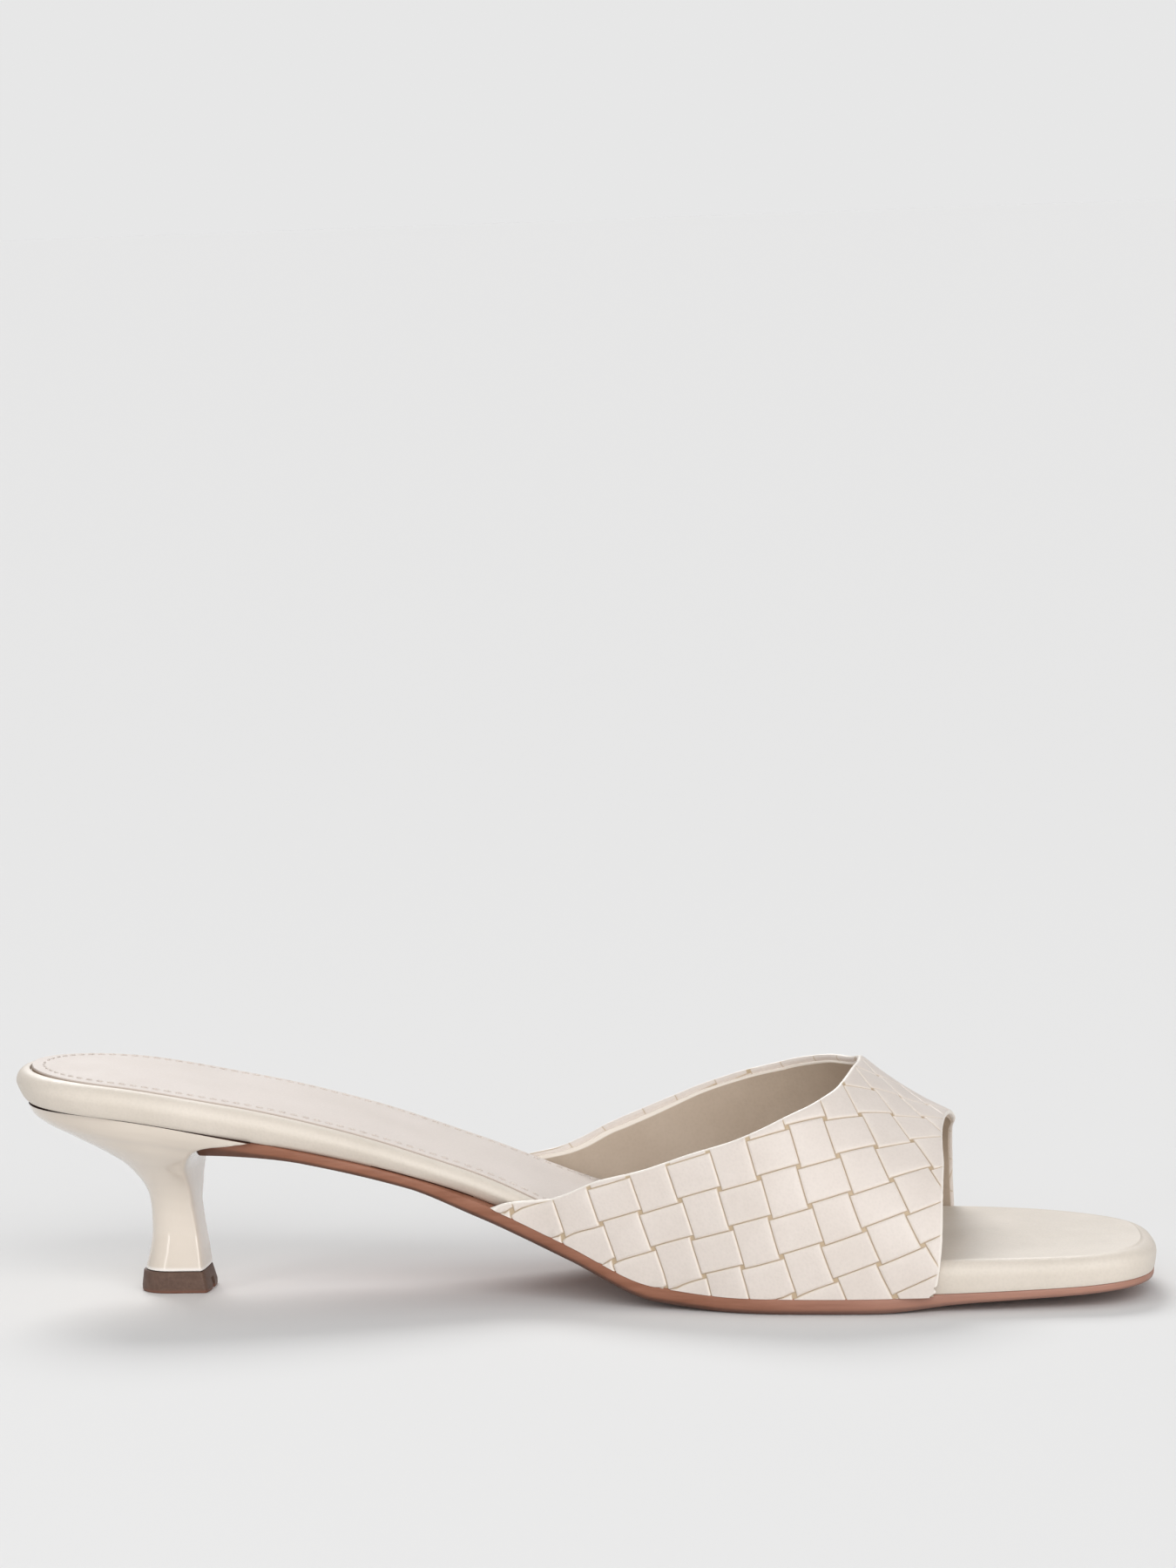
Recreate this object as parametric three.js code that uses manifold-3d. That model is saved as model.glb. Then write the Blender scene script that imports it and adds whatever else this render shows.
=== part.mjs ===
// Kitten heel mule for the left foot, as a maker puts it together: a wrapped footbed with a sock on it,
// a band of embossed woven leather over the toes, a thin outsole, a covered heel and its top piece.
// Millimetres. +X runs to the toe, +Y is the outer side of the foot, +Z is up, and the floor is z = 0.
// The shoe is worked out from the back of the footbed, and the last lines put it over its own middle.
import * as THREE from "three";
import { mergeVertices } from "three/addons/utils/BufferGeometryUtils.js";
import Module from "manifold-3d";

const wasm = await Module();
wasm.setup();

// Footbed and its outline
const FOOTBED_LENGTH = 250;
const SEAT_WIDTH = 51;
const WAIST_WIDTH = 46;
const BALL_WIDTH = 77;
const TOE_WIDTH = 58;
const WAIST_SHIFT = 3.5;
const TOE_SWING = 6.5;
const HEEL_ROUND = 26;
const TOE_ROUND_INNER = 16;
const TOE_ROUND_OUTER = 33;
const TOE_SQUARENESS = 2.5;
const TOE_SLANT = 0.16;
const FOOTBED_THICKNESS = 7;
const TOE_THICKNESS = 6;
const WAIST_THICKNESS = 5.2;
const FOOTBED_EDGE = 3;
const FOOTBED_DRAFT = 1.8;
const FOOTBED_CROWN = 0.4;

// How the footbed lies above the floor
const HEEL_LIFT = 44.3;
const TOE_SPRING = 1.75;

// Outsole
const SOLE_GAUGE = 3.5;
const SHANK_GAUGE = 2.4;
const TOE_GAUGE = 1.3;
const SOLE_BEVEL = 1.7;
const SOLE_INSET = 0.6;
const TONGUE_WIDTH = 22;
const TONGUE_START = 40;
const TONGUE_FLARE = 26;
const TONGUE_DROP = 5.2;
const TONGUE_CURL = 1.7;

// Sock, laid into a shallow bed in the footbed's top that runs out under the band
const SOCK_GAUGE = 0.8;
const SOCK_LENGTH = 188;
const BED_DEPTH = 1;
const BED_RUNOUT = 22;
const SOCK_FRONT_RADIUS = 110;

// Upper
const WALL = 1.8;
const THROAT = 187;
const TOE_LINE = 206;
const THROAT_HEIGHT = 48.9;
const TOE_LINE_HEIGHT = 36.9;
const WING_INNER = 108;
const WING_OUTER = 104;
const TOE_LINE_SWAY = 1.2;
const FORM_POWER = 2.4;
const RIDGE_EASE = 0.35;

// Weave embossed on the upper
const STRAND_LENGTH = 9.2;
const STRAND_WIDTH = 8.4;
const WEAVE_OVERLAP = 0.45;
const WEAVE_GROOVE = 0.6;
const WEAVE_DEPTH = 0.5;
const WEAVE_ANGLE = 49.3;
const WEAVE_START = 8.1;

// Heel and top piece
const TIP_HEIGHT = 4.8;
const TIP_WIDTH = 13;
const TIP_FLARE = 0.45;
const NECK_WIDTH = 11.2;
const HEEL_BACK = 28.7;
const HEEL_BREAST = 39.4;
const HEEL_WING = 16.7;
const SEAT_OPENING = 0.5;
const SEAT_OPENING_LENGTH = 17;
const BREAST_DIP = 0.9;
const BREAST_CORNER = 1;
const NOTCH_WIDTH = 2.8;
const NOTCH_HEIGHT = 2.6;
const NOTCH_DEPTH = 1.2;

// Room left between two pieces that meet
const GAP = 0.3;

const INNER = -1;
const OUTER = 1;

// Fineness of the band's wall, and how far its leather is laid out past its edges
const BLANK_ALONG = 10;
const BLANK_AROUND = 20;
const LEATHER_REACH = 1.25;
const WEAVE_REACH = 15;
const WEAVE_SPARE = 16;
const SLOPE_STEP = 0.1;

// A smooth curve through one column of a table, without bumps between its rows.
function columnCurve(rows, column) {
  const x = rows.map((row) => row.at);
  const y = rows.map((row) => row[column]);
  const slopes = x.slice(1).map((right, i) => (y[i + 1] - y[i]) / (right - x[i]));
  const tangents = x.map((_, i) => {
    if (i === 0) return slopes[0];
    if (i === x.length - 1) return slopes[i - 1];
    const [before, after] = [slopes[i - 1], slopes[i]];
    return before * after <= 0 ? 0 : (2 * before * after) / (before + after);
  });
  return (at) => {
    const a = THREE.MathUtils.clamp(at, x[0], x[x.length - 1]);
    let i = 0;
    while (i < x.length - 2 && a > x[i + 1]) i += 1;
    const span = x[i + 1] - x[i];
    const t = (a - x[i]) / span;
    return (
      y[i] * (1 + 2 * t) * (1 - t) ** 2 +
      tangents[i] * span * t * (1 - t) ** 2 +
      y[i + 1] * t ** 2 * (3 - 2 * t) -
      tangents[i + 1] * span * t ** 2 * (1 - t)
    );
  };
}

// The footbed from above, before its two ends are rounded.
// at: share of its length from the back; width: full width; centre: its middle, + to the outer side.
const PLAN = [
  { at: 0.0, width: 0.98 * SEAT_WIDTH, centre: 0 },
  { at: 0.12, width: SEAT_WIDTH, centre: 0 },
  { at: 0.27, width: 0.96 * SEAT_WIDTH, centre: 0.5 * WAIST_SHIFT },
  { at: 0.42, width: WAIST_WIDTH, centre: WAIST_SHIFT },
  { at: 0.57, width: 0.85 * BALL_WIDTH, centre: 0.8 * WAIST_SHIFT },
  { at: 0.69, width: BALL_WIDTH, centre: 0 },
  { at: 0.8, width: 0.95 * BALL_WIDTH, centre: -0.5 * TOE_SWING },
  { at: 0.92, width: 1.1 * TOE_WIDTH, centre: -0.9 * TOE_SWING },
  { at: 1.0, width: TOE_WIDTH, centre: -TOE_SWING },
];

// The footbed from the side. at: share of its length; up: height of its underside above the floor;
// thick: its thickness at the edge.
const TREAD = SOLE_GAUGE + GAP;
const PROFILE = [
  { at: 0.0, up: HEEL_LIFT, thick: FOOTBED_THICKNESS },
  { at: 0.1, up: 0.943 * HEEL_LIFT, thick: FOOTBED_THICKNESS },
  { at: 0.2, up: 0.838 * HEEL_LIFT, thick: FOOTBED_THICKNESS },
  { at: 0.3, up: 0.715 * HEEL_LIFT, thick: 0.5 * (FOOTBED_THICKNESS + WAIST_THICKNESS) },
  { at: 0.4, up: 0.54 * HEEL_LIFT, thick: WAIST_THICKNESS },
  { at: 0.5, up: 0.26 * HEEL_LIFT + 0.5 * TREAD, thick: WAIST_THICKNESS },
  { at: 0.58, up: 0.04 * HEEL_LIFT + 0.92 * TREAD, thick: 0.5 * (FOOTBED_THICKNESS + WAIST_THICKNESS) },
  { at: 0.66, up: TREAD, thick: FOOTBED_THICKNESS },
  { at: 0.73, up: TREAD, thick: FOOTBED_THICKNESS },
  { at: 0.83, up: TREAD + 0.16 * TOE_SPRING, thick: FOOTBED_THICKNESS },
  { at: 0.92, up: TREAD + 0.45 * TOE_SPRING, thick: 0.5 * (FOOTBED_THICKNESS + TOE_THICKNESS) },
  { at: 1.0, up: TREAD + TOE_SPRING, thick: TOE_THICKNESS },
];

// The outsole's thickness. at: share of the footbed's length; gauge: thickness.
const GAUGE = [
  { at: 0.15, gauge: SHANK_GAUGE },
  { at: 0.36, gauge: SHANK_GAUGE },
  { at: 0.42, gauge: SOLE_GAUGE },
  { at: 0.76, gauge: SOLE_GAUGE },
  { at: 0.86, gauge: 0.7 * TOE_GAUGE + 0.3 * SOLE_GAUGE },
  { at: 1.0, gauge: TOE_GAUGE },
];

// How far the outsole stands out past the footbed: under the band it carries the band's wall as well.
const MARGIN = [
  { at: 0.36, margin: -0.5 * FOOTBED_DRAFT },
  { at: 0.46, margin: 2 * GAP + WALL },
  { at: 0.77, margin: 2 * GAP + WALL },
  { at: 0.83, margin: -SOLE_INSET },
];

const alongFootbed = (curve) => (x) => curve(x / FOOTBED_LENGTH);
const footbedWidth = alongFootbed(columnCurve(PLAN, "width"));
const footbedCentre = alongFootbed(columnCurve(PLAN, "centre"));
const seatHeight = alongFootbed(columnCurve(PROFILE, "up"));
const footbedThickness = alongFootbed(columnCurve(PROFILE, "thick"));
const soleGauge = alongFootbed(columnCurve(GAUGE, "gauge"));
const soleMargin = alongFootbed(columnCurve(MARGIN, "margin"));

const FOOTBED_LINE = {
  back: 0,
  front: FOOTBED_LENGTH,
  backRound: HEEL_ROUND,
  backPower: 2.1,
  frontRound: (side) => (side === INNER ? TOE_ROUND_INNER : TOE_ROUND_OUTER),
  frontPower: TOE_SQUARENESS,
  slant: TOE_SLANT,
  width: footbedWidth,
  centre: footbedCentre,
};

// One side of an outline from back to front, as evenly spaced points with their outward normals.
function sideLine(line, side, count) {
  const fineSteps = 400;
  const fine = [];
  for (let i = 0; i <= fineSteps; i += 1) {
    const along = (1 - Math.cos((Math.PI * i) / fineSteps)) / 2;
    const x = THREE.MathUtils.lerp(line.back, line.front, along);
    const nearBack = THREE.MathUtils.clamp(1 - (x - line.back) / line.backRound, 0, 1);
    const nearFront = THREE.MathUtils.clamp(1 - (line.front - x) / line.frontRound(side), 0, 1);
    const rounding =
      (1 - nearBack ** line.backPower) ** (1 / line.backPower) *
      (1 - nearFront ** line.frontPower) ** (1 / line.frontPower);
    const half = (line.width(x) / 2) * rounding;
    const lead = -line.slant * side * half * THREE.MathUtils.smoothstep(nearFront, 0, 1);
    fine.push(new THREE.Vector2(x + lead, line.centre(x) + side * half));
  }
  const travelled = [0];
  for (let i = 1; i < fine.length; i += 1) {
    travelled.push(travelled[i - 1] + fine[i].distanceTo(fine[i - 1]));
  }
  const points = [];
  let at = 1;
  for (let i = 0; i <= count; i += 1) {
    const distance = (travelled[travelled.length - 1] * i) / count;
    while (at < fine.length - 1 && travelled[at] < distance) at += 1;
    const t = (distance - travelled[at - 1]) / (travelled[at] - travelled[at - 1]);
    points.push(fine[at - 1].clone().lerp(fine[at], THREE.MathUtils.clamp(t, 0, 1)));
  }
  return points.map((point, i) => {
    const before = points[Math.max(i - 1, 0)];
    const after = points[Math.min(i + 1, count)];
    const tangent = after.clone().sub(before).normalize();
    const normal = new THREE.Vector2(-side * tangent.y, side * tangent.x);
    if (i === 0) normal.set(-1, 0);
    if (i === count) normal.set(1, line.slant).normalize();
    return { point, normal };
  });
}

// A closed solid from shared points and the triangles between them.
function solid(points, triangles) {
  return new wasm.Manifold(
    new wasm.Mesh({
      numProp: 3,
      vertProperties: new Float32Array(points.flatMap((p) => [p.x, p.y, p.z])),
      triVerts: new Uint32Array(triangles.flat()),
    }),
  );
}

// A three.js geometry as a solid that can cut or join.
function solidFrom(geometry) {
  const bare = geometry.clone();
  bare.deleteAttribute("normal");
  bare.deleteAttribute("uv");
  const merged = mergeVertices(bare, 1e-4);
  return new wasm.Manifold(
    new wasm.Mesh({
      numProp: 3,
      vertProperties: merged.attributes.position.array,
      triVerts: new Uint32Array(merged.index.array),
    }),
  );
}

function geometryOf(body) {
  const mesh = body.getMesh();
  const geometry = new THREE.BufferGeometry();
  geometry.setAttribute("position", new THREE.BufferAttribute(mesh.vertProperties, 3));
  geometry.setIndex(new THREE.BufferAttribute(mesh.triVerts, 1));
  geometry.computeVertexNormals();
  return geometry;
}

// A body stacked from rings, from the underside up, with a grid across its two faces.
// A ring is { line, inset, height }: an outline, how far inside it the ring lies, and its z from x and y.
function stack({ count, across, rings }) {
  const size = 2 * count;
  const points = [];
  const triangles = [];
  const addQuad = (a, b, c, d) => triangles.push([a, b, c], [a, c, d]);

  for (const { line, inset = 0, height } of rings) {
    const inner = sideLine(line, INNER, count);
    const outer = sideLine(line, OUTER, count);
    for (const { point, normal } of [...inner, ...outer.slice(1, -1).reverse()]) {
      const x = point.x - inset * normal.x;
      const y = point.y - inset * normal.y;
      points.push(new THREE.Vector3(x, y, height(x, y)));
    }
  }
  for (let ring = 0; ring < rings.length - 1; ring += 1) {
    for (let i = 0; i < size; i += 1) {
      const next = (i + 1) % size;
      const [low, high] = [ring * size, (ring + 1) * size];
      addQuad(low + i, low + next, high + next, high + i);
    }
  }

  const addFace = (start, height, facesUp) => {
    const rows = [];
    for (let i = 1; i < count; i += 1) {
      const from = start + i;
      const to = start + size - i;
      const row = [from];
      for (let j = 1; j < across; j += 1) {
        const p = points[from].clone().lerp(points[to], j / across);
        points.push(p.setZ(height(p.x, p.y)));
        row.push(points.length - 1);
      }
      rows.push([...row, to]);
    }
    const addTriangle = (a, b, c) => triangles.push(facesUp ? [a, b, c] : [a, c, b]);
    for (let j = 0; j < across; j += 1) {
      addTriangle(start, rows[0][j], rows[0][j + 1]);
      addTriangle(start + count, rows[count - 2][j + 1], rows[count - 2][j]);
      for (let i = 0; i < count - 2; i += 1) {
        addTriangle(rows[i][j], rows[i + 1][j], rows[i + 1][j + 1]);
        addTriangle(rows[i][j], rows[i + 1][j + 1], rows[i][j + 1]);
      }
    }
  };
  addFace(0, rings[0].height, false);
  addFace((rings.length - 1) * size, rings[rings.length - 1].height, true);
  return solid(points, triangles);
}

// The footbed: a board wrapped in soft leather, with a rolled top edge, a bed for the sock and a crown.
const bedDepth = (x) =>
  BED_DEPTH * (1 - THREE.MathUtils.smoothstep(x, SOCK_LENGTH - 1.5 * BED_RUNOUT, SOCK_LENGTH - 0.5 * BED_RUNOUT));
function footbedTop(x, y) {
  const half = footbedWidth(x) / 2 - FOOTBED_EDGE;
  const off = THREE.MathUtils.clamp((y - footbedCentre(x)) / half, -1, 1);
  return seatHeight(x) + footbedThickness(x) - bedDepth(x) + FOOTBED_CROWN * (1 - off ** 2);
}

function makeFootbed() {
  const edge = (inset, share) => ({
    line: FOOTBED_LINE,
    inset,
    height: (x) => seatHeight(x) + share * footbedThickness(x),
  });
  const rolled = FOOTBED_EDGE / FOOTBED_THICKNESS;
  const rings = [edge(FOOTBED_DRAFT, 0), edge(0.45 * FOOTBED_DRAFT, 0.2), edge(0, 1 - rolled)];
  for (const turn of [30, 60, 90]) {
    const angle = THREE.MathUtils.degToRad(turn);
    rings.push(edge(FOOTBED_EDGE * (1 - Math.cos(angle)), 1 - rolled * (1 - Math.sin(angle))));
  }
  rings.push({ line: FOOTBED_LINE, inset: FOOTBED_EDGE + GAP, height: footbedTop });
  return stack({ count: 64, across: 6, rings });
}

// The sock: thin leather laid on the footbed from the heel to under the band, with a curved front edge.
function makeSock() {
  const under = (x, y) => footbedTop(x, y) + GAP;
  const over = (x, y) => under(x, y) + SOCK_GAUGE;
  const inset = FOOTBED_EDGE + 2 * GAP;
  const rings = [under, over].map((height) => ({ line: FOOTBED_LINE, inset, height }));
  const whole = stack({ count: 56, across: 6, rings });
  const tall = 4 * HEEL_LIFT;
  const disc = new THREE.CylinderGeometry(SOCK_FRONT_RADIUS, SOCK_FRONT_RADIUS, tall, 96)
    .rotateX(Math.PI / 2)
    .translate(SOCK_LENGTH - SOCK_FRONT_RADIUS, 0, 0);
  return whole.intersect(solidFrom(disc));
}

// The outsole: its tongue runs up the arch to the heel's breast, and its edge is bevelled below.
const OUTSOLE_LINE = {
  back: TONGUE_START,
  front: FOOTBED_LENGTH - SOLE_INSET,
  backRound: 2.5,
  backPower: 3,
  frontRound: (side) => FOOTBED_LINE.frontRound(side) - SOLE_INSET,
  frontPower: TOE_SQUARENESS,
  slant: TOE_SLANT,
  width: (x) => {
    const full = footbedWidth(x) + 2 * soleMargin(x);
    const flare = THREE.MathUtils.clamp((x - TONGUE_START) / TONGUE_FLARE, 0, 1);
    return THREE.MathUtils.lerp(TONGUE_WIDTH, full, Math.sin((flare * Math.PI) / 2));
  },
  centre: footbedCentre,
};
const tongueDrop = (x) =>
  TONGUE_DROP * THREE.MathUtils.clamp(1 - (x - TONGUE_START) / TONGUE_FLARE, 0, 1) ** TONGUE_CURL;
const soleTop = (x) => seatHeight(x) - GAP;
const soleBottom = (x) => soleTop(x) - soleGauge(x) - tongueDrop(x);

function outsoleBody(line, clearance) {
  const at = (inset, share) => ({
    line,
    inset,
    height: (x) => THREE.MathUtils.lerp(soleBottom(x) - clearance, soleTop(x) + clearance, share),
  });
  const rings = [at(SOLE_BEVEL, 0), at(0.35 * SOLE_BEVEL, 0.2), at(0, 0.55), at(0, 1)];
  return stack({ count: 56, across: 4, rings });
}

const makeOutsole = () => outsoleBody(OUTSOLE_LINE, 0);

// The heel, from its top piece up to the seat. share: how far up towards the footbed the ring lies;
// back: its back end, as a share of the distance from the back of the footbed; dip and wing: how far its
// front stands behind the breast, as a share of the breast's dip, and before it, as a share of the wings;
// width: across, as a share of the seat; round: share of its length that the rounded back takes.
const HEEL = [
  { share: 0.0, back: 0.934, dip: -1.8, wing: 0, width: TIP_WIDTH / SEAT_WIDTH, round: 0.5 },
  { share: 0.135, back: 0.98, dip: -1.35, wing: 0, width: 0.237, round: 0.55 },
  { share: 0.25, back: 1, dip: -0.8, wing: 0, width: NECK_WIDTH / SEAT_WIDTH, round: 0.6 },
  { share: 0.35, back: 1, dip: -0.35, wing: 0, width: 0.226, round: 0.65 },
  { share: 0.44, back: 0.99, dip: 0, wing: 0, width: 0.253, round: 0.68 },
  { share: 0.52, back: 0.955, dip: -0.1, wing: 0, width: 0.31, round: 0.7 },
  { share: 0.585, back: 0.895, dip: 0, wing: 0, width: 0.38, round: 0.72 },
  { share: 0.665, back: 0.79, dip: 0, wing: 0.005, width: 0.49, round: 0.74 },
  { share: 0.73, back: 0.645, dip: 0, wing: 0.04, width: 0.6, round: 0.74 },
  { share: 0.8, back: 0.46, dip: 0, wing: 0.12, width: 0.71, round: 0.7 },
  { share: 0.85, back: 0.325, dip: 0, wing: 0.21, width: 0.77, round: 0.66 },
  { share: 0.885, back: 0.23, dip: 0, wing: 0.32, width: 0.82, round: 0.62 },
  { share: 0.916, back: 0.165, dip: 0, wing: 0.48, width: 0.85, round: 0.59 },
  { share: 0.94, back: 0.12, dip: 0, wing: 0.65, width: 0.87, round: 0.57 },
  { share: 0.975, back: 0.09, dip: 0, wing: 0.86, width: 0.89, round: 0.53 },
  { share: 1.0, back: 0.08, dip: 0, wing: 1, width: 0.9, round: 0.5 },
];

function heelLine(row) {
  const back = row.back * HEEL_BACK;
  const front = HEEL_BREAST - row.dip * BREAST_DIP + row.wing * HEEL_WING;
  return {
    back,
    front,
    backRound: row.round * (front - back),
    backPower: 2,
    frontRound: () => BREAST_CORNER,
    frontPower: 5,
    slant: 0,
    width: () => row.width * SEAT_WIDTH,
    centre: () => 0,
  };
}

// The heel's top: against the footbed at its wings, and a little open at the back.
const heelTop = (x) =>
  seatHeight(x) - GAP - SEAT_OPENING * (1 - THREE.MathUtils.smoothstep(x, 0, SEAT_OPENING_LENGTH));

function makeHeel() {
  const rings = HEEL.map((row) => ({
    line: heelLine(row),
    height: (x) => THREE.MathUtils.lerp(TIP_HEIGHT + GAP, heelTop(x), row.share),
  }));
  const pocketLine = {
    ...OUTSOLE_LINE,
    back: OUTSOLE_LINE.back - GAP,
    width: (x) => OUTSOLE_LINE.width(x) + 2 * GAP,
  };
  return stack({ count: 22, across: 4, rings }).subtract(outsoleBody(pocketLine, GAP));
}

// The top piece under the heel: it flares towards the floor, with a small notch in its front face.
function makeHeelTip() {
  const foot = heelLine(HEEL[0]);
  const top = { ...foot, back: foot.back - TIP_FLARE };
  const flared = { ...foot, back: foot.back - 2 * TIP_FLARE, front: foot.front + 2 * TIP_FLARE };
  const rings = [
    { line: flared, inset: TIP_FLARE, height: () => 0 },
    { line: flared, height: () => TIP_FLARE },
    { line: top, height: () => TIP_HEIGHT },
  ];
  const cutter = new THREE.BoxGeometry(2 * NOTCH_DEPTH, NOTCH_WIDTH, 2 * NOTCH_HEIGHT);
  const notch = solidFrom(cutter.translate(foot.front + TIP_FLARE, 0, 0));
  return stack({ count: 22, across: 4, rings }).subtract(notch);
}

// The form that the band is shaped on, over the toes and down to the outsole.
// s runs along its ridge from the throat, 0, to the toe line, 1, and on past both.
const RIDGE_FALL = THROAT_HEIGHT - TOE_LINE_HEIGHT;
function ridgeHeight(x) {
  const s = (x - THROAT) / (TOE_LINE - THROAT);
  const eased = s < 0 ? s * (1 + RIDGE_EASE) : s * (1 + RIDGE_EASE * (1 - s));
  return THROAT_HEIGHT - RIDGE_FALL * eased;
}

// A place on the form: turn is 0 on the ridge and 1 at the outsole, where the wall runs on straight down.
function onForm(x, side, turn) {
  const base = seatHeight(x);
  const half = footbedWidth(x) / 2 + 2 * GAP + WALL;
  const angle = (Math.PI / 2) * (1 - Math.min(turn, 1));
  const below = Math.max(turn - 1, 0) * THROAT_HEIGHT;
  return new THREE.Vector3(
    x,
    footbedCentre(x) + side * half * Math.cos(angle) ** (2 / FORM_POWER),
    base + (ridgeHeight(x) - base) * Math.sin(angle) ** (2 / FORM_POWER) - below,
  );
}

// The same place moved off the form along its normal: out where off is more than 0, in where less.
function offForm(x, side, turn, off) {
  const step = 1e-3;
  const here = onForm(x, side, turn);
  const along = onForm(x + step, side, turn).sub(here);
  const low = Math.max(turn, 2 * step);
  const down = onForm(x, side, low + step).sub(onForm(x, side, low - step));
  const normal = along.cross(down).multiplyScalar(side).normalize();
  if (turn < 2 * step) normal.setY(0).normalize();
  return here.addScaledVector(normal, off);
}

// The band's edges. at: turn on the form; inner, outer: how far back the topline lies there, as a share
// of the way from the throat to the end of that side's wing; innerToe, outerToe: how far the toe line lies
// before its place on the ridge, as a share of its sway.
const EDGES = [
  { at: 0.0, inner: 0, outer: 0, innerToe: 0, outerToe: 0 },
  { at: 0.15, inner: 0.01, outer: 0.008, innerToe: 0.1, outerToe: 0.3 },
  { at: 0.3, inner: 0.032, outer: 0.034, innerToe: 0.5, outerToe: 0.55 },
  { at: 0.45, inner: 0.087, outer: 0.117, innerToe: 1, outerToe: -0.4 },
  { at: 0.6, inner: 0.19, outer: 0.245, innerToe: 1, outerToe: -0.9 },
  { at: 0.7, inner: 0.295, outer: 0.375, innerToe: 1, outerToe: -1.1 },
  { at: 0.8, inner: 0.465, outer: 0.54, innerToe: 0.9, outerToe: -1.3 },
  { at: 0.9, inner: 0.685, outer: 0.715, innerToe: 0.5, outerToe: -1.3 },
  { at: 0.96, inner: 0.82, outer: 0.845, innerToe: 0, outerToe: -1.3 },
  { at: 1.0, inner: 1, outer: 1, innerToe: -0.5, outerToe: -1.3 },
];
const BAND_SIDES = {
  [INNER]: { wing: WING_INNER, topline: columnCurve(EDGES, "inner"), toeLine: columnCurve(EDGES, "innerToe") },
  [OUTER]: { wing: WING_OUTER, topline: columnCurve(EDGES, "outer"), toeLine: columnCurve(EDGES, "outerToe") },
};

function bandEdges(side, turn) {
  const { wing, topline, toeLine } = BAND_SIDES[side];
  return {
    back: THREE.MathUtils.lerp(THROAT, wing, topline(turn)),
    front: TOE_LINE + TOE_LINE_SWAY * toeLine(turn),
  };
}

// A sheet given as shared points and triangles, each point with an outer and an inner place, made solid.
function solidSheet(outerPoints, innerPoints, triangles) {
  const inside = outerPoints.length;
  const edges = new Set(triangles.flatMap(([a, b, c]) => [`${a} ${b}`, `${b} ${c}`, `${c} ${a}`]));
  const walls = [...edges].flatMap((edge) => {
    const [a, b] = edge.split(" ").map(Number);
    if (edges.has(`${b} ${a}`)) return [];
    return [
      [b, a, a + inside],
      [b, a + inside, b + inside],
    ];
  });
  const back = triangles.map(([a, b, c]) => [a + inside, c + inside, b + inside]);
  return solid([...outerPoints, ...innerPoints], [...triangles, ...back, ...walls]);
}

// The band without its weave: a smooth wall between the topline, the toe line and the outsole.
function bandBlank(outset) {
  const outerPoints = [];
  const innerPoints = [];
  const triangles = [];
  for (let j = -BLANK_AROUND; j <= BLANK_AROUND; j += 1) {
    const side = j < 0 ? INNER : OUTER;
    const turn = 1 - (1 - Math.abs(j) / BLANK_AROUND) ** 1.35;
    const { back, front } = bandEdges(side, turn);
    for (let i = 0; i <= BLANK_ALONG; i += 1) {
      const x = THREE.MathUtils.lerp(back, front, i / BLANK_ALONG);
      outerPoints.push(offForm(x, side, turn, outset));
      innerPoints.push(offForm(x, side, turn, -WALL));
    }
  }
  const row = BLANK_ALONG + 1;
  for (let j = 0; j < 2 * BLANK_AROUND; j += 1) {
    for (let i = 0; i < BLANK_ALONG; i += 1) {
      const a = j * row + i;
      triangles.push([a, a + 1, a + row + 1], [a, a + row + 1, a + row]);
    }
  }
  return solidSheet(outerPoints, innerPoints, triangles);
}

// Where a place on the flat leather comes to lie on the form. along is measured down the ridge from the
// throat, and around is measured square to the ridge, + to the outer side.
const RIDGE_ANGLE = Math.atan(RIDGE_FALL / (TOE_LINE - THROAT));
function leatherOnForm(along, around) {
  const side = around < 0 ? INNER : OUTER;
  const station = (p) => p.x * Math.cos(RIDGE_ANGLE) - p.z * Math.sin(RIDGE_ANGLE);
  const wanted = station(onForm(THROAT, side, 0)) + along;
  const steps = 60;
  let x = THROAT + along * Math.cos(RIDGE_ANGLE);
  let turn = 0;
  let travelled = 0;
  let before = null;
  for (let k = 0; k <= steps; k += 1) {
    const nextTurn = (LEATHER_REACH * k) / steps;
    let nextX = x;
    for (let tries = 0; tries < 4; tries += 1) {
      const miss = station(onForm(nextX, side, nextTurn)) - wanted;
      const slope = station(onForm(nextX + SLOPE_STEP, side, nextTurn)) - wanted - miss;
      nextX -= (SLOPE_STEP * miss) / slope;
    }
    const here = onForm(nextX, side, nextTurn);
    const step = before ? here.distanceTo(before) : 0;
    if (before && travelled + step >= Math.abs(around)) {
      const part = (Math.abs(around) - travelled) / step;
      return {
        x: THREE.MathUtils.lerp(x, nextX, part),
        side,
        turn: THREE.MathUtils.lerp(turn, nextTurn, part),
      };
    }
    travelled += step;
    [x, turn, before] = [nextX, nextTurn, here];
  }
  return null;
}

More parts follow.
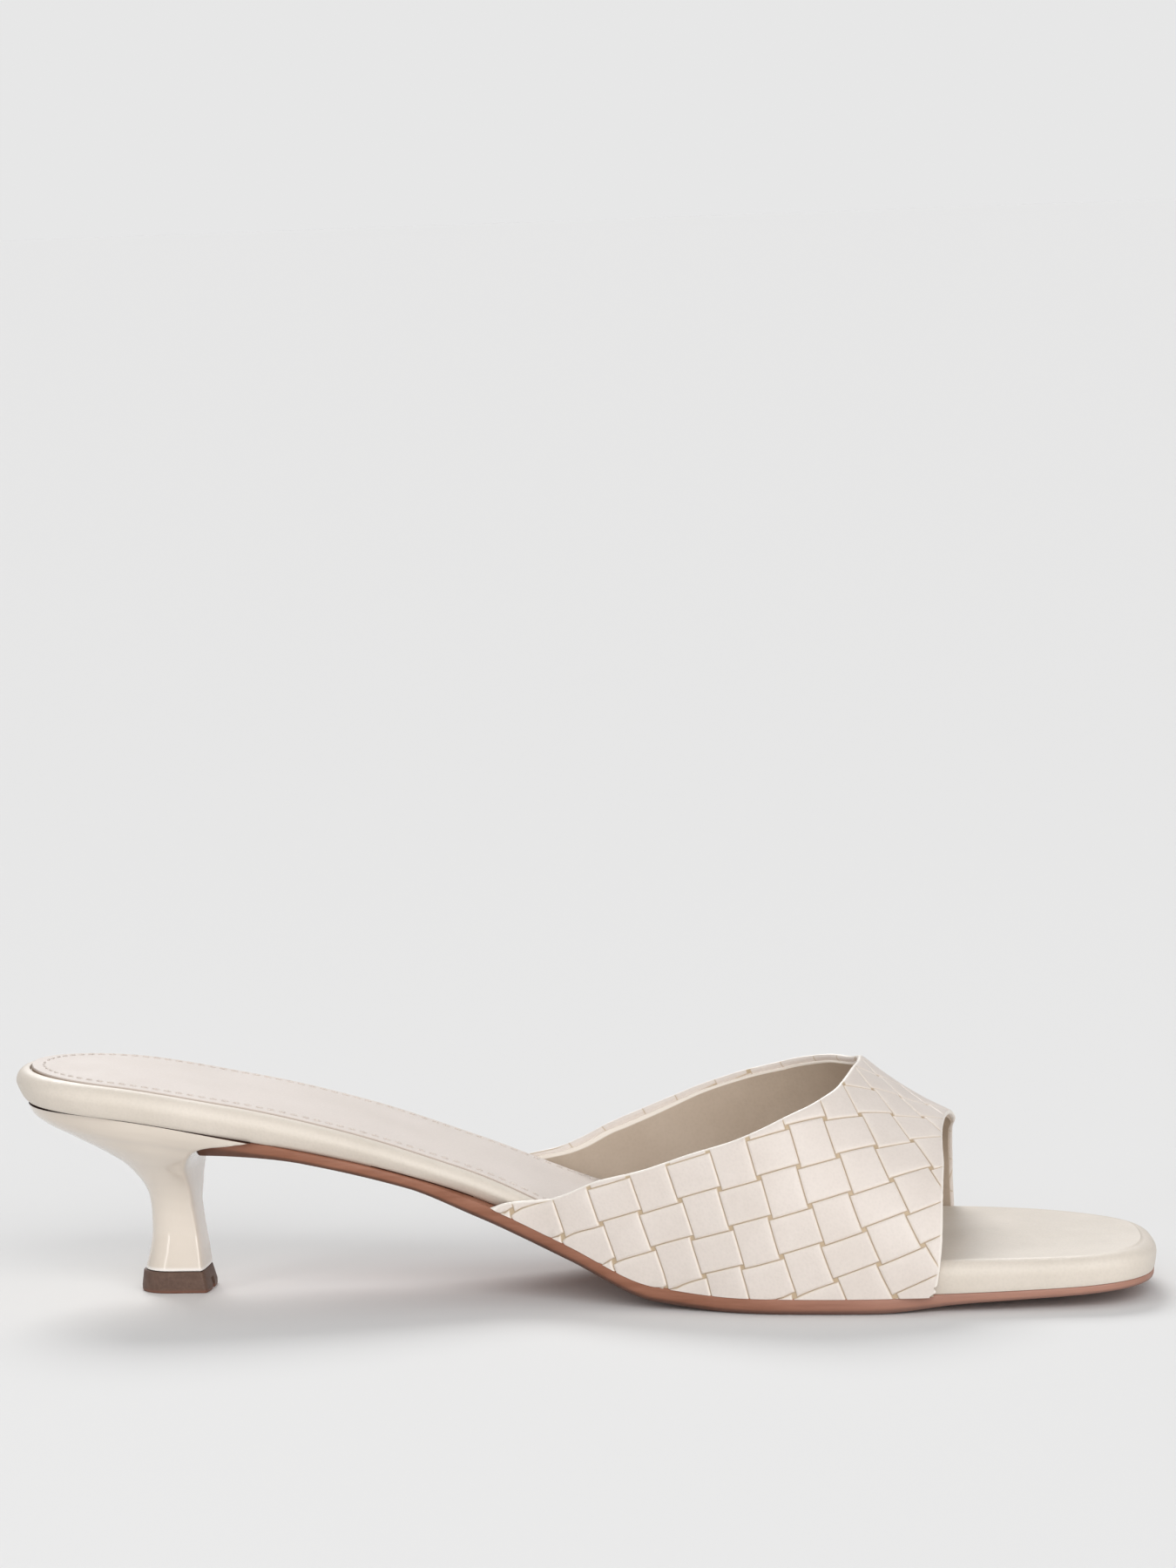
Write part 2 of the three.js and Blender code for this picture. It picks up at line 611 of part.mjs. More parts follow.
// The band's leather, embossed as a plain weave laid askew to the ridge. Each tile is longer along its own
// strand than across it by the weave's overlap, so four tiles wheel round a small pit at each crossing.
function wovenSheet() {
  const places = new Map();
  const outerPoints = [];
  const innerPoints = [];
  const triangles = [];
  const turned = THREE.MathUtils.degToRad(WEAVE_ANGLE);

  const point = (u, v, off) => {
    const key = `${u.toFixed(3)} ${v.toFixed(3)} ${off.toFixed(3)}`;
    if (places.has(key)) return places.get(key);
    const along = (WEAVE_START + u) * Math.cos(turned) - v * Math.sin(turned);
    const around = (WEAVE_START + u) * Math.sin(turned) + v * Math.cos(turned);
    const place = leatherOnForm(along, around);
    let index = null;
    if (place && place.x > WING_OUTER - WEAVE_SPARE && place.x < TOE_LINE + WEAVE_SPARE) {
      index = outerPoints.length;
      outerPoints.push(offForm(place.x, place.side, place.turn, off));
      innerPoints.push(offForm(place.x, place.side, place.turn, -2 * WALL));
    }
    places.set(key, index);
    return index;
  };
  const addFace = (...corners) => {
    for (let k = 1; k < corners.length - 1; k += 1) {
      triangles.push([corners[0], corners[k], corners[k + 1]]);
    }
  };

  const [low, high] = [-WEAVE_DEPTH / 2, WEAVE_DEPTH / 2];
  const [halfLength, halfWidth] = [STRAND_LENGTH / 2, STRAND_WIDTH / 2];
  const addTile = (i, j) => {
    const level = (i + j) % 2 === 0;
    const [u, v] = [i * STRAND_LENGTH, j * STRAND_WIDTH];
    const [reach, spread] = level ? [halfLength, halfWidth] : [halfWidth, halfLength];
    const at = (long, across, off) =>
      level ? point(u + long, v + across, off) : point(u - across, v + long, off);
    const foot = [];
    const top = [];
    for (const turn of [-1, 1]) {
      const ends = turn * (reach + WEAVE_OVERLAP);
      const joint = turn * (reach - WEAVE_OVERLAP);
      const side = turn * (spread - WEAVE_OVERLAP);
      foot.push(at(ends, side, low), at(joint, side, low), at(-joint, side, low), at(-ends, side, low));
      const topEnds = ends - turn * WEAVE_GROOVE;
      const topSide = side - turn * WEAVE_GROOVE;
      top.push(at(topEnds, topSide, high), at(-topEnds, topSide, high));
    }
    if ([...foot, ...top].includes(null)) return false;
    addFace(...top);
    addFace(top[0], foot[0], foot[1], foot[2], foot[3], top[1]);
    addFace(top[1], foot[3], foot[4], top[2]);
    addFace(top[2], foot[4], foot[5], foot[6], foot[7], top[3]);
    addFace(top[3], foot[7], foot[0], top[0]);
    return true;
  };
  const laid = new Set();
  const grid = [];
  for (let i = -WEAVE_REACH; i <= WEAVE_REACH; i += 1) {
    for (let j = -WEAVE_REACH; j <= WEAVE_REACH; j += 1) {
      if (addTile(i, j)) laid.add(`${i} ${j}`);
      grid.push([i, j]);
    }
  }
  for (const [i, j] of grid) {
    const round = [`${i} ${j}`, `${i + 1} ${j}`, `${i} ${j + 1}`, `${i + 1} ${j + 1}`];
    if (!round.every((tile) => laid.has(tile))) continue;
    const [u, v] = [i * STRAND_LENGTH + halfLength, j * STRAND_WIDTH + halfWidth];
    const [back, front] = [u - WEAVE_OVERLAP, u + WEAVE_OVERLAP];
    const [near, far] = [v - WEAVE_OVERLAP, v + WEAVE_OVERLAP];
    addFace(point(back, near, low), point(front, near, low), point(front, far, low), point(back, far, low));
  }
  return solidSheet(outerPoints, innerPoints, triangles);
}

const makeUpper = () => wovenSheet().intersect(bandBlank(2 * WEAVE_DEPTH));

// The pieces, with their colours, placed over the middle of the shoe's footprint.
const PIECES = [
  { name: "outsole", make: makeOutsole, color: 0x8c6253, roughness: 0.55 },
  { name: "footbed", make: makeFootbed, color: 0xe3d9ce, roughness: 0.5 },
  { name: "sock", make: makeSock, color: 0xe4dbd4, roughness: 0.6 },
  { name: "upper", make: makeUpper, color: 0xeaded2, roughness: 0.45 },
  { name: "heel", make: makeHeel, color: 0xdad0c4, roughness: 0.2 },
  { name: "heel_tip", make: makeHeelTip, color: 0x695148, roughness: 0.6 },
];

const shoe = new THREE.Group();
for (const { name, make, color, roughness } of PIECES) {
  const mesh = new THREE.Mesh(geometryOf(make()), new THREE.MeshStandardMaterial({ color, roughness }));
  mesh.name = name;
  shoe.add(mesh);
}
const middle = new THREE.Box3().setFromObject(shoe).getCenter(new THREE.Vector3());
for (const mesh of shoe.children) mesh.geometry.translate(-middle.x, -middle.y, 0);

export default shoe;
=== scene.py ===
# Kitten heel mule for the left foot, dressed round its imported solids, at the photograph's angle.
# Shapes are worked out in millimetres in the shoe's construction frame, x from the back of the footbed
# and z from the floor, and are moved into the row frame, in metres, as the last step.
import math

import bpy
import numpy as np
from mathutils import Matrix, Vector


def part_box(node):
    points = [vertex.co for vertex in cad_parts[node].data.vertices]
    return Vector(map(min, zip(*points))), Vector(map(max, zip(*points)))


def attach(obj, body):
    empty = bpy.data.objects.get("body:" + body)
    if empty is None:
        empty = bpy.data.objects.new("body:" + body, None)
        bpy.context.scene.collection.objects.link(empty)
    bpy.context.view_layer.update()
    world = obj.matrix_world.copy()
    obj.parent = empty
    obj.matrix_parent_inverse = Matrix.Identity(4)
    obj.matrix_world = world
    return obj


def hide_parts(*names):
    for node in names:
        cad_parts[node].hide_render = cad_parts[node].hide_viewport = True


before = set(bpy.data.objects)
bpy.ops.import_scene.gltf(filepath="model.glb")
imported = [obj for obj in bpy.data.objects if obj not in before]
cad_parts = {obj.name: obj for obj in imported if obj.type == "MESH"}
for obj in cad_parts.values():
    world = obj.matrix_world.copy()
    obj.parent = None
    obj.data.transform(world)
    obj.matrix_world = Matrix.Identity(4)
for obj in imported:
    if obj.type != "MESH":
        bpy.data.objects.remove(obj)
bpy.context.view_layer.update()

MM = 0.001
INNER = -1
OUTER = 1
GAP = 0.3

# Footbed and its outline
FOOTBED_LENGTH = 250
SEAT_WIDTH = 51
WAIST_WIDTH = 46
BALL_WIDTH = 77
TOE_WIDTH = 58
WAIST_SHIFT = 3.5
TOE_SWING = 6.5
HEEL_ROUND = 26
TOE_ROUND_INNER = 16
TOE_ROUND_OUTER = 33
TOE_SQUARENESS = 2.5
TOE_SLANT = 0.16
FOOTBED_THICKNESS = 7
TOE_THICKNESS = 6
WAIST_THICKNESS = 5.2
FOOTBED_EDGE = 3
FOOTBED_DRAFT = 1.8
FOOTBED_CROWN = 0.4
HEEL_LIFT = 44.3
TOE_SPRING = 1.75

# The footbed's wrap: its side leans in most at its foot, and less towards the toe, from one place along the
# shoe to another. Its rolled edge has a share of the named edge's height, and a fullness. A ring inside the
# edge leads down into the bed. Underneath, where its normal points down more than this, it takes the dark
# sole material: partly the bare board, partly painted shade in the opening above the heel.
TOE_UPRIGHT = 0.7
UPRIGHT_FROM = 120
UPRIGHT_TO = 190
FOOT_LEAN = 1.2
FOOT_SHARE = 0.045
SIDE_SHARE = 0.12
SIDE_CURVE = 1.25
EDGE_SHARE = 1.05
EDGE_FULLNESS = 0.95
BED_SHARE = 0.3
BARE_AND_SHADED_BELOW = -0.8

# Outsole
SOLE_GAUGE = 3.5
SHANK_GAUGE = 2.4
TOE_GAUGE = 1.3
SOLE_BEVEL = 1.7
SOLE_INSET = 0.6
TONGUE_WIDTH = 22
TONGUE_START = 40
TONGUE_FLARE = 26
TONGUE_DROP = 5.2
TONGUE_CURL = 1.7
SOLE_SEAM = 0.05

# The outsole's edge from its underside up: first shares of the bevel, then how far in it stands, each with
# its share of the way up. It is dark on the bevel, up to one share, and stained above another, and partly
# stained underneath.
SOLE_BEVELLED = [(1.18, 0), (1, 0.015), (0.72, 0.09), (0.35, 0.22), (0.12, 0.38)]
SOLE_UPRIGHT = [(0.02, 0.55), (0, 0.7), (0, 0.9), (0.08, 0.97), (0.25, 1)]
DARK_TO = 0.16
STAINED_FROM = 0.4
UNDERSIDE = 0.01
UNDERSIDE_STAIN = 0.8

# Sock and its stitches
SOCK_GAUGE = 0.8
SOCK_PAD = 0.2
SOCK_INSET = FOOTBED_EDGE + 2 * GAP
SOCK_LENGTH = 188
BED_DEPTH = 1
BED_RUNOUT = 22
SOCK_FRONT_RADIUS = 110
SOCK_CLEAR = 0.04
SOCK_BULGE = 0.18
SOCK_TUCK = 0.12
SOCK_MIDDLE = 0.55
SOCK_BEND = 0.8
STITCH_INSET = 6.2
STITCH_PITCH = 2.5
STITCH_LENGTH = 1.7
STITCH_WIDTH = 0.45
STITCH_LIFT = 0.1
STITCH_SAG = 0.16
STITCH_FRONT = 182

# Upper
WALL = 1.8
THROAT = 187
TOE_LINE = 206
THROAT_HEIGHT = 48.9
TOE_LINE_HEIGHT = 36.9
WING_INNER = 108
WING_OUTER = 104
TOE_LINE_SWAY = 1.2
FORM_POWER = 2.4
RIDGE_EASE = 0.35
EDGE_ROUND = 0.6
FLAT_EDGE = 1.8
FLAT_SHARE = 0.1
FOLD_UNDER = 1.6
FOLD_LINES = (FLAT_EDGE, 1.1, EDGE_ROUND, 0.25, -0.1, -0.5, -0.9, -1.28)
PALE_EDGE = 0.15
PALE_END = 0.6
BAND_END = 1.004
LEATHER_GAUGE = 0.45
LINING_EDGE = 0.55
LINING_GAUGE = 0.5
LINING_RIM = 0.012
LINING_SLOPE = 0.35
LINING_CROWD = 1.25

# Weave on the upper
STRAND_LENGTH = 9.2
STRAND_WIDTH = 8.4
WEAVE_OVERLAP = 0.45
WEAVE_ANGLE = 49.3
WEAVE_START = 8.1
WEAVE_DEPTH = 0.5
WEAVE_SHOULDER = 0.5
SHOULDER_CURVE = 2.2
TILE_CROWN = 0.08
WEAVE_MIDDLE = 0.62
WEAVE_REACH = 14
LEATHER_REACH = 1.06
# Painted shade: the grooves darken below a height on the weave, by a strength and a curve.
GROOVE_SHADE_BELOW = 0.7
GROOVE_SHADE_TONE = 0.85
GROOVE_SHADE_CURVE = 1.1
# Painted highlight: a pale line along each tile's shoulder, at a height on the weave, with its spread and
# strength.
LIP_HIGHLIGHT_HEIGHT = 0.68
LIP_HIGHLIGHT_SPREAD = 0.3
LIP_HIGHLIGHT_TONE = 0.7

# The part of the flat leather that is laid on the form, and the part of the form that takes it
LEATHER_AROUND = 95
LEATHER_BACK = -98
LEATHER_FRONT = 40
FORM_BACK = 85
FORM_FRONT = 222

# Heel and top piece
TIP_HEIGHT = 4.8
TIP_WIDTH = 13
TIP_FLARE = 0.45
TIP_FLARE_UP = 0.25
TIP_EASE = 0.2
TIP_SHOULDER = 0.96
TIP_TUCK = 0.22
NECK_WIDTH = 11.2
HEEL_BACK = 28.7
HEEL_BREAST = 39.4
HEEL_WING = 16.7
HEEL_SEAM = 0.2
TIP_SEAM = 0.12
POCKET_ROOM = 0.12
SEAT_OPENING = 0.9
SEAT_OPENING_LENGTH = 22
# Faces of the heel that point up more than this are painted dark, as shade in the opening at the seat.
SHADED_SEAT_ABOVE = 0.9
BREAST_DIP = 0.9
BREAST_CORNER = 1
NOTCH_WIDTH = 2.8
NOTCH_HEIGHT = 2.6
NOTCH_DEPTH = 1.2

SHIFT_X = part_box("footbed")[0].x / MM
tip_low, tip_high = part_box("heel_tip")
SHIFT_Y = (tip_low.y + tip_high.y) / 2 / MM


def column_curve(rows, column):
    """A smooth curve through one column of a table whose first column is the place along it."""
    x = np.array([row[0] for row in rows], float)
    y = np.array([row[column] for row in rows], float)
    slopes = np.diff(y) / np.diff(x)
    tangents = np.empty_like(y)
    tangents[0], tangents[-1] = slopes[0], slopes[-1]
    before, after = slopes[:-1], slopes[1:]
    total = np.where(before * after > 0, before + after, 1)
    tangents[1:-1] = np.where(before * after > 0, 2 * before * after / total, 0)

    def curve(at):
        a = np.clip(at, x[0], x[-1])
        i = np.clip(np.searchsorted(x, a, side="left") - 1, 0, len(x) - 2)
        span = x[i + 1] - x[i]
        t = (a - x[i]) / span
        return (
            y[i] * (1 + 2 * t) * (1 - t) ** 2
            + tangents[i] * span * t * (1 - t) ** 2
            + y[i + 1] * t**2 * (3 - 2 * t)
            - tangents[i + 1] * span * t**2 * (1 - t)
        )

    return curve


def smoothstep(x, low, high):
    t = np.clip((x - low) / (high - low), 0, 1)
    return t * t * (3 - 2 * t)


# The footbed from above: share of its length, full width, and its middle, + to the outer side.
PLAN = [
    (0.0, 0.98 * SEAT_WIDTH, 0),
    (0.12, SEAT_WIDTH, 0),
    (0.27, 0.96 * SEAT_WIDTH, 0.5 * WAIST_SHIFT),
    (0.42, WAIST_WIDTH, WAIST_SHIFT),
    (0.57, 0.85 * BALL_WIDTH, 0.8 * WAIST_SHIFT),
    (0.69, BALL_WIDTH, 0),
    (0.8, 0.95 * BALL_WIDTH, -0.5 * TOE_SWING),
    (0.92, 1.1 * TOE_WIDTH, -0.9 * TOE_SWING),
    (1.0, TOE_WIDTH, -TOE_SWING),
]

# The footbed from the side: share of its length, height of its underside, and thickness at its edge.
TREAD = SOLE_GAUGE + GAP
HALF_THICK = 0.5 * (FOOTBED_THICKNESS + WAIST_THICKNESS)
PROFILE = [
    (0.0, HEEL_LIFT, FOOTBED_THICKNESS),
    (0.1, 0.943 * HEEL_LIFT, FOOTBED_THICKNESS),
    (0.2, 0.838 * HEEL_LIFT, FOOTBED_THICKNESS),
    (0.3, 0.715 * HEEL_LIFT, HALF_THICK),
    (0.4, 0.54 * HEEL_LIFT, WAIST_THICKNESS),
    (0.5, 0.26 * HEEL_LIFT + 0.5 * TREAD, WAIST_THICKNESS),
    (0.58, 0.04 * HEEL_LIFT + 0.92 * TREAD, HALF_THICK),
    (0.66, TREAD, FOOTBED_THICKNESS),
    (0.73, TREAD, FOOTBED_THICKNESS),
    (0.83, TREAD + 0.16 * TOE_SPRING, FOOTBED_THICKNESS),
    (0.92, TREAD + 0.45 * TOE_SPRING, 0.5 * (FOOTBED_THICKNESS + TOE_THICKNESS)),
    (1.0, TREAD + TOE_SPRING, TOE_THICKNESS),
]

# The outsole's thickness, and how far it stands out past the footbed.
GAUGE = [
    (0.15, SHANK_GAUGE),
    (0.36, SHANK_GAUGE),
    (0.42, SOLE_GAUGE),
    (0.76, SOLE_GAUGE),
    (0.86, 0.7 * TOE_GAUGE + 0.3 * SOLE_GAUGE),
    (1.0, TOE_GAUGE),
]
MARGIN = [
    (0.36, -0.5 * FOOTBED_DRAFT),
    (0.46, 2 * GAP + WALL),
    (0.77, 2 * GAP + WALL),
    (0.83, -SOLE_INSET),
]


def along_footbed(rows, column):
    curve = column_curve(rows, column)
    return lambda x: curve(np.asarray(x, float) / FOOTBED_LENGTH)


footbed_width = along_footbed(PLAN, 1)
footbed_centre = along_footbed(PLAN, 2)
seat_height = along_footbed(PROFILE, 1)
footbed_thickness = along_footbed(PROFILE, 2)
sole_gauge = along_footbed(GAUGE, 1)
sole_margin = along_footbed(MARGIN, 1)


def round_of(side):
    return TOE_ROUND_INNER if side == INNER else TOE_ROUND_OUTER


FOOTBED_LINE = {
    "back": 0,
    "front": FOOTBED_LENGTH,
    "back_round": HEEL_ROUND,
    "back_power": 2.1,
    "front_round": round_of,
    "front_power": TOE_SQUARENESS,
    "slant": TOE_SLANT,
    "width": footbed_width,
    "centre": footbed_centre,
}


def outsole_width(x):
    full = footbed_width(x) + 2 * sole_margin(x)
    flare = np.clip((x - TONGUE_START) / TONGUE_FLARE, 0, 1)
    return TONGUE_WIDTH + (full - TONGUE_WIDTH) * np.sin(flare * math.pi / 2)


OUTSOLE_LINE = {
    "back": TONGUE_START,
    "front": FOOTBED_LENGTH - SOLE_INSET,
    "back_round": 2.5,
    "back_power": 3,
    "front_round": lambda side: round_of(side) - SOLE_INSET,
    "front_power": TOE_SQUARENESS,
    "slant": TOE_SLANT,
    "width": outsole_width,
    "centre": footbed_centre,
}


def sole_top(x):
    return seat_height(x) - SOLE_SEAM


def sole_bottom(x):
    drop = TONGUE_DROP * np.clip(1 - (x - TONGUE_START) / TONGUE_FLARE, 0, 1) ** TONGUE_CURL
    return seat_height(x) - GAP - sole_gauge(x) - drop


def bed_depth(x):
    """The shallow bed that the sock lies in runs out under the band."""
    return BED_DEPTH * (1 - smoothstep(x, SOCK_LENGTH - 1.5 * BED_RUNOUT, SOCK_LENGTH - 0.5 * BED_RUNOUT))


def footbed_top(x, y):
    half = footbed_width(x) / 2 - FOOTBED_EDGE
    off = np.clip((y - footbed_centre(x)) / half, -1, 1)
    return seat_height(x) + footbed_thickness(x) - bed_depth(x) + FOOTBED_CROWN * (1 - off**2)


def travel(line):
    """How far it is along a line of points to each of them."""
    return np.concatenate([[0], np.cumsum(np.linalg.norm(np.diff(line, axis=0), axis=1))])


def evenly(line, count):
    """Places that part a line of points into equal lengths."""
    travelled = travel(line)
    wanted = np.linspace(0, travelled[-1], count + 1)
    return np.stack([np.interp(wanted, travelled, line[:, k]) for k in (0, 1)], -1)


def side_line(line, side, count):
    """One side of an outline from back to front: evenly spaced points and their outward normals."""
    along = (1 - np.cos(np.linspace(0, math.pi, 1601))) / 2
    x = line["back"] + (line["front"] - line["back"]) * along
    near_back = np.clip(1 - (x - line["back"]) / line["back_round"], 0, 1)
    near_front = np.clip(1 - (line["front"] - x) / line["front_round"](side), 0, 1)
    rounding = (1 - near_back ** line["back_power"]) ** (1 / line["back_power"])
    rounding *= (1 - near_front ** line["front_power"]) ** (1 / line["front_power"])
    half = line["width"](x) / 2 * rounding
    lead = -line["slant"] * side * half * smoothstep(near_front, 0, 1)
    points = evenly(np.stack([x + lead, line["centre"](x) + side * half], -1), count)
    tangents = np.empty_like(points)
    tangents[1:-1] = points[2:] - points[:-2]
    tangents[0], tangents[-1] = points[1] - points[0], points[-1] - points[-2]
    tangents /= np.linalg.norm(tangents, axis=1)[:, None]
    normals = np.stack([-side * tangents[:, 1], side * tangents[:, 0]], -1)
    normals[0] = (-1, 0)
    normals[-1] = np.array([1, line["slant"]]) / math.hypot(1, line["slant"])
    return points, normals


def ring_of(line, inset, height, count):
    """A closed ring round an outline, moved inside it, by a length or by one for each x, and lifted."""
    inner, inner_normals = side_line(line, INNER, count)
    outer, outer_normals = side_line(line, OUTER, count)
    points = np.concatenate([inner, outer[1:-1][::-1]])
    normals = np.concatenate([inner_normals, outer_normals[1:-1][::-1]])
    if callable(inset):
        inset = inset(points[:, 0])[:, None]
    flat = points - inset * normals
    return np.column_stack([flat, height(flat[:, 0], flat[:, 1])])


def stack(count, across, rings):
    """Points and faces of a body of rings, stacked from the underside up, with a grid on its two faces."""
    size = 2 * count
    points = [ring_of(line, inset, height, count) for line, inset, height in rings]
    faces = []
    for ring in range(len(rings) - 1):
        for i in range(size):
            after = (i + 1) % size
            start, above = ring * size, (ring + 1) * size
            faces.append((start + i, start + after, above + after, above + i))
    total = len(rings) * size
    for ring, height, up in ((0, rings[0][2], False), (len(rings) - 1, rings[-1][2], True)):
        edge, start = points[ring], ring * size
        one, other = edge[1:count], edge[: count : -1]
        share = np.linspace(0, 1, across + 1)[1:-1, None, None]
        inside = (one[None] * (1 - share) + other[None] * share).transpose(1, 0, 2).reshape(-1, 3)
        inside[:, 2] = height(inside[:, 0], inside[:, 1])
        points.append(inside)
        rows = []
        for i in range(1, count):
            first = total + (i - 1) * (across - 1)
            rows.append([start + i, *range(first, first + across - 1), start + size - i])
        total += len(inside)
        made = []
        for j in range(across):
            made.append((start, rows[0][j], rows[0][j + 1]))
            made.append((start + count, rows[-1][j + 1], rows[-1][j]))
            for i in range(count - 2):
                made.append((rows[i][j], rows[i + 1][j], rows[i + 1][j + 1], rows[i][j + 1]))
        faces += made if up else [tuple(reversed(face)) for face in made]
    return np.concatenate(points), faces


def placed(points):
    """Construction millimetres into metres in the row frame."""
    return (np.asarray(points, float) + [SHIFT_X, SHIFT_Y, 0]) * MM


def added(name, data):
    """A new object in the scene."""
    made = bpy.data.objects.new(name, data)
    bpy.context.scene.collection.objects.link(made)
    return made


def mesh_piece(name, points, faces, materials, sharp=None):
    """A mesh object, smooth but for edges sharper than an angle in degrees."""
    mesh = bpy.data.meshes.new(name)
    mesh.from_pydata(placed(points).tolist(), [], faces)
    mesh.validate()
    piece = added(name, mesh)
    for material in materials:
        mesh.materials.append(material)
    finish_mesh(piece, sharp)
    return piece


def thick_sheet(name, one, other, faces, look, sharp):
    """A mesh piece of a sheet's two sides, which have the same faces, with walls round their open edge."""
    count = len(one)
    edges = {(a, face[(k + 1) % len(face)]): True for face in faces for k, a in enumerate(face)}
    walls = [(b, a, a + count, b + count) for a, b in edges if (b, a) not in edges]
    back = [tuple(p + count for p in reversed(face)) for face in faces]
    return mesh_piece(name, np.concatenate([one, other]), faces + back + walls, [look.material], sharp)


def write_values(piece, name, values):
    """Stores values for a mesh's first points, and 0 for the rest, for its material to read."""
    attribute = piece.data.attributes.new(name, "FLOAT", "POINT")
    stored = np.zeros(len(attribute.data), np.float32)
    stored[: len(values)] = values
    attribute.data.foreach_set("value", stored)


def finish_mesh(piece, sharp):
    piece.data.shade_smooth()
    if sharp:
        piece.data.set_sharp_from_angle(angle=math.radians(sharp))


def cut(piece, cutter, name, sharp):
    """The piece less the cutter, with the boolean applied, and the cutter deleted."""
    modifier = piece.modifiers.new("cut", "BOOLEAN")
    modifier.operation = "DIFFERENCE"
    modifier.solver = "EXACT"
    modifier.object = cutter
    evaluated = piece.evaluated_get(bpy.context.evaluated_depsgraph_get())
    mesh = bpy.data.meshes.new_from_object(evaluated)
    mesh.name = name
    piece.modifiers.clear()
    piece.data = mesh
    bpy.data.objects.remove(cutter)
    finish_mesh(piece, sharp)
    return piece


# Materials
def linear(red, green, blue):
    """A colour as it shows on screen, 0 to 255, in the linear values that shaders take."""
    shown = [channel / 255 for channel in (red, green, blue)]
    return (*[c / 12.92 if c <= 0.04045 else ((c + 0.055) / 1.055) ** 2.4 for c in shown], 1)


class Look:
    """A procedural material: its node tree, with a few calls that add to it."""

    def __init__(self, name, roughness, specular=0.5):
        self.material = bpy.data.materials.new(name)
        self.material.use_nodes = True
        self.nodes = self.material.node_tree.nodes
        self.links = self.material.node_tree.links
        self.shader = self.nodes["Principled BSDF"]
        self.shader.inputs["Roughness"].default_value = roughness
        self.shader.inputs["Specular IOR Level"].default_value = specular
        self.place = self.nodes.new("ShaderNodeTexCoord").outputs["Object"]

    def feed(self, socket, value):
        """Sets a socket, by a link where the value comes from another node."""
        if isinstance(value, bpy.types.NodeSocket):
            self.links.new(value, socket)
        else:
            socket.default_value = value

    def node(self, kind, inputs):
        node = self.nodes.new("ShaderNode" + kind)
        for name, value in inputs.items():
            self.feed(node.inputs[name], value)
        return node

    def noise(self, scale, detail=4, roughness=0.55, stretch=None):
        inputs = {"Vector": self.mapped(stretch), "Scale": scale, "Detail": detail, "Roughness": roughness}
        return self.node("TexNoise", inputs).outputs["Fac"]

    def cells(self, scale, stretch=None):
        return self.node("TexVoronoi", {"Vector": self.mapped(stretch), "Scale": scale}).outputs["Distance"]

    def mapped(self, stretch):
        if not stretch:
            return self.place
        return self.node("Mapping", {"Vector": self.place, "Scale": stretch}).outputs["Vector"]

    def attribute(self, name):
        node = self.node("Attribute", {})
        node.attribute_name = name
        return node.outputs["Fac"]

    def coordinate(self, axis):
        return self.node("SeparateXYZ", {"Vector": self.place}).outputs[axis]

    def ramp(self, value, dark, light, low=0.3, high=0.7):
        """Turns a value into a colour between two tones."""
        node = self.node("ValToRGB", {"Fac": value})
        for element, at, tone in zip(node.color_ramp.elements, (low, high), (dark, light)):
            element.position = at
            element.color = linear(*tone)
        return node.outputs["Color"]

    def band(self, value, low, high, to_low=0.0, to_high=1.0):
        """Moves a value from one range into another, and holds it there."""
        inputs = {"Value": value, "From Min": low, "From Max": high, "To Min": to_low, "To Max": to_high}
        return self.node("MapRange", inputs).outputs["Result"]

    def mix(self, share, one, other, blend="MIX"):
        node = self.node("Mix", {})
        node.data_type = "RGBA"
        node.blend_type = blend
        for number, value in ((0, share), (6, one), (7, other)):
            self.feed(node.inputs[number], value)
        return node.outputs[2]

    def overlay(self, share, tone):
        """Lays a plain tone over the colour so far, by a share from 0 to 1."""
        self.color(self.mix(share, self.shader.inputs["Base Color"].links[0].from_socket, linear(*tone)))

    def color(self, value):
        self.feed(self.shader.inputs["Base Color"], value)

    def roughness(self, value):
        self.feed(self.shader.inputs["Roughness"], value)

    def bump(self, *layers):
        """Bump layers from the coarsest to the finest, each (value, depth in metres)."""
        under = {}
        for value, depth in layers:
            node = self.node("Bump", {"Strength": 1, "Distance": depth, "Height": value, **under})
            under = {"Normal": node.outputs["Normal"]}
        self.feed(self.shader.inputs["Normal"], under["Normal"])


# Depth of the leather's pores, in metres
GRAIN_DEPTH = 0.00002


def leather(name, light, dark, roughness, grain=1500, mottle=55, creases=260):
    """Dyed leather: fine pebbled grain, faint creases, and colour that drifts between two near tones."""
    look = Look(name, roughness, 0.4)
    drift = look.noise(mottle, 5, 0.6)
    color = look.ramp(drift, dark, light)
    pores = look.cells(grain)
    shade = look.band(pores, 0.0, 0.7, 0.955, 1.0)
    tint = look.nodes.new("ShaderNodeCombineColor")
    for socket in tint.inputs[:3]:
        look.links.new(shade, socket)
    look.color(look.mix(1.0, color, tint.outputs["Color"], "MULTIPLY"))
    look.roughness(look.band(look.noise(220, 3), 0.3, 0.7, roughness - 0.06, roughness + 0.08))
    look.bump((look.noise(creases, 6, 0.6), 4 * GRAIN_DEPTH), (pores, GRAIN_DEPTH))
    return look


upper_look = leather("upper_leather", (221, 211, 203), (213, 202, 193), 0.42, creases=130)
# Painted highlight along the shoulders of the weave's tiles.
upper_look.overlay(upper_look.attribute("lip_highlight"), (240, 231, 220))
# Painted shade in the grooves between the tiles.
upper_look.overlay(upper_look.attribute("groove_shade"), (178, 155, 122))
upper_look.overlay(upper_look.attribute("rim"), (238, 231, 222))

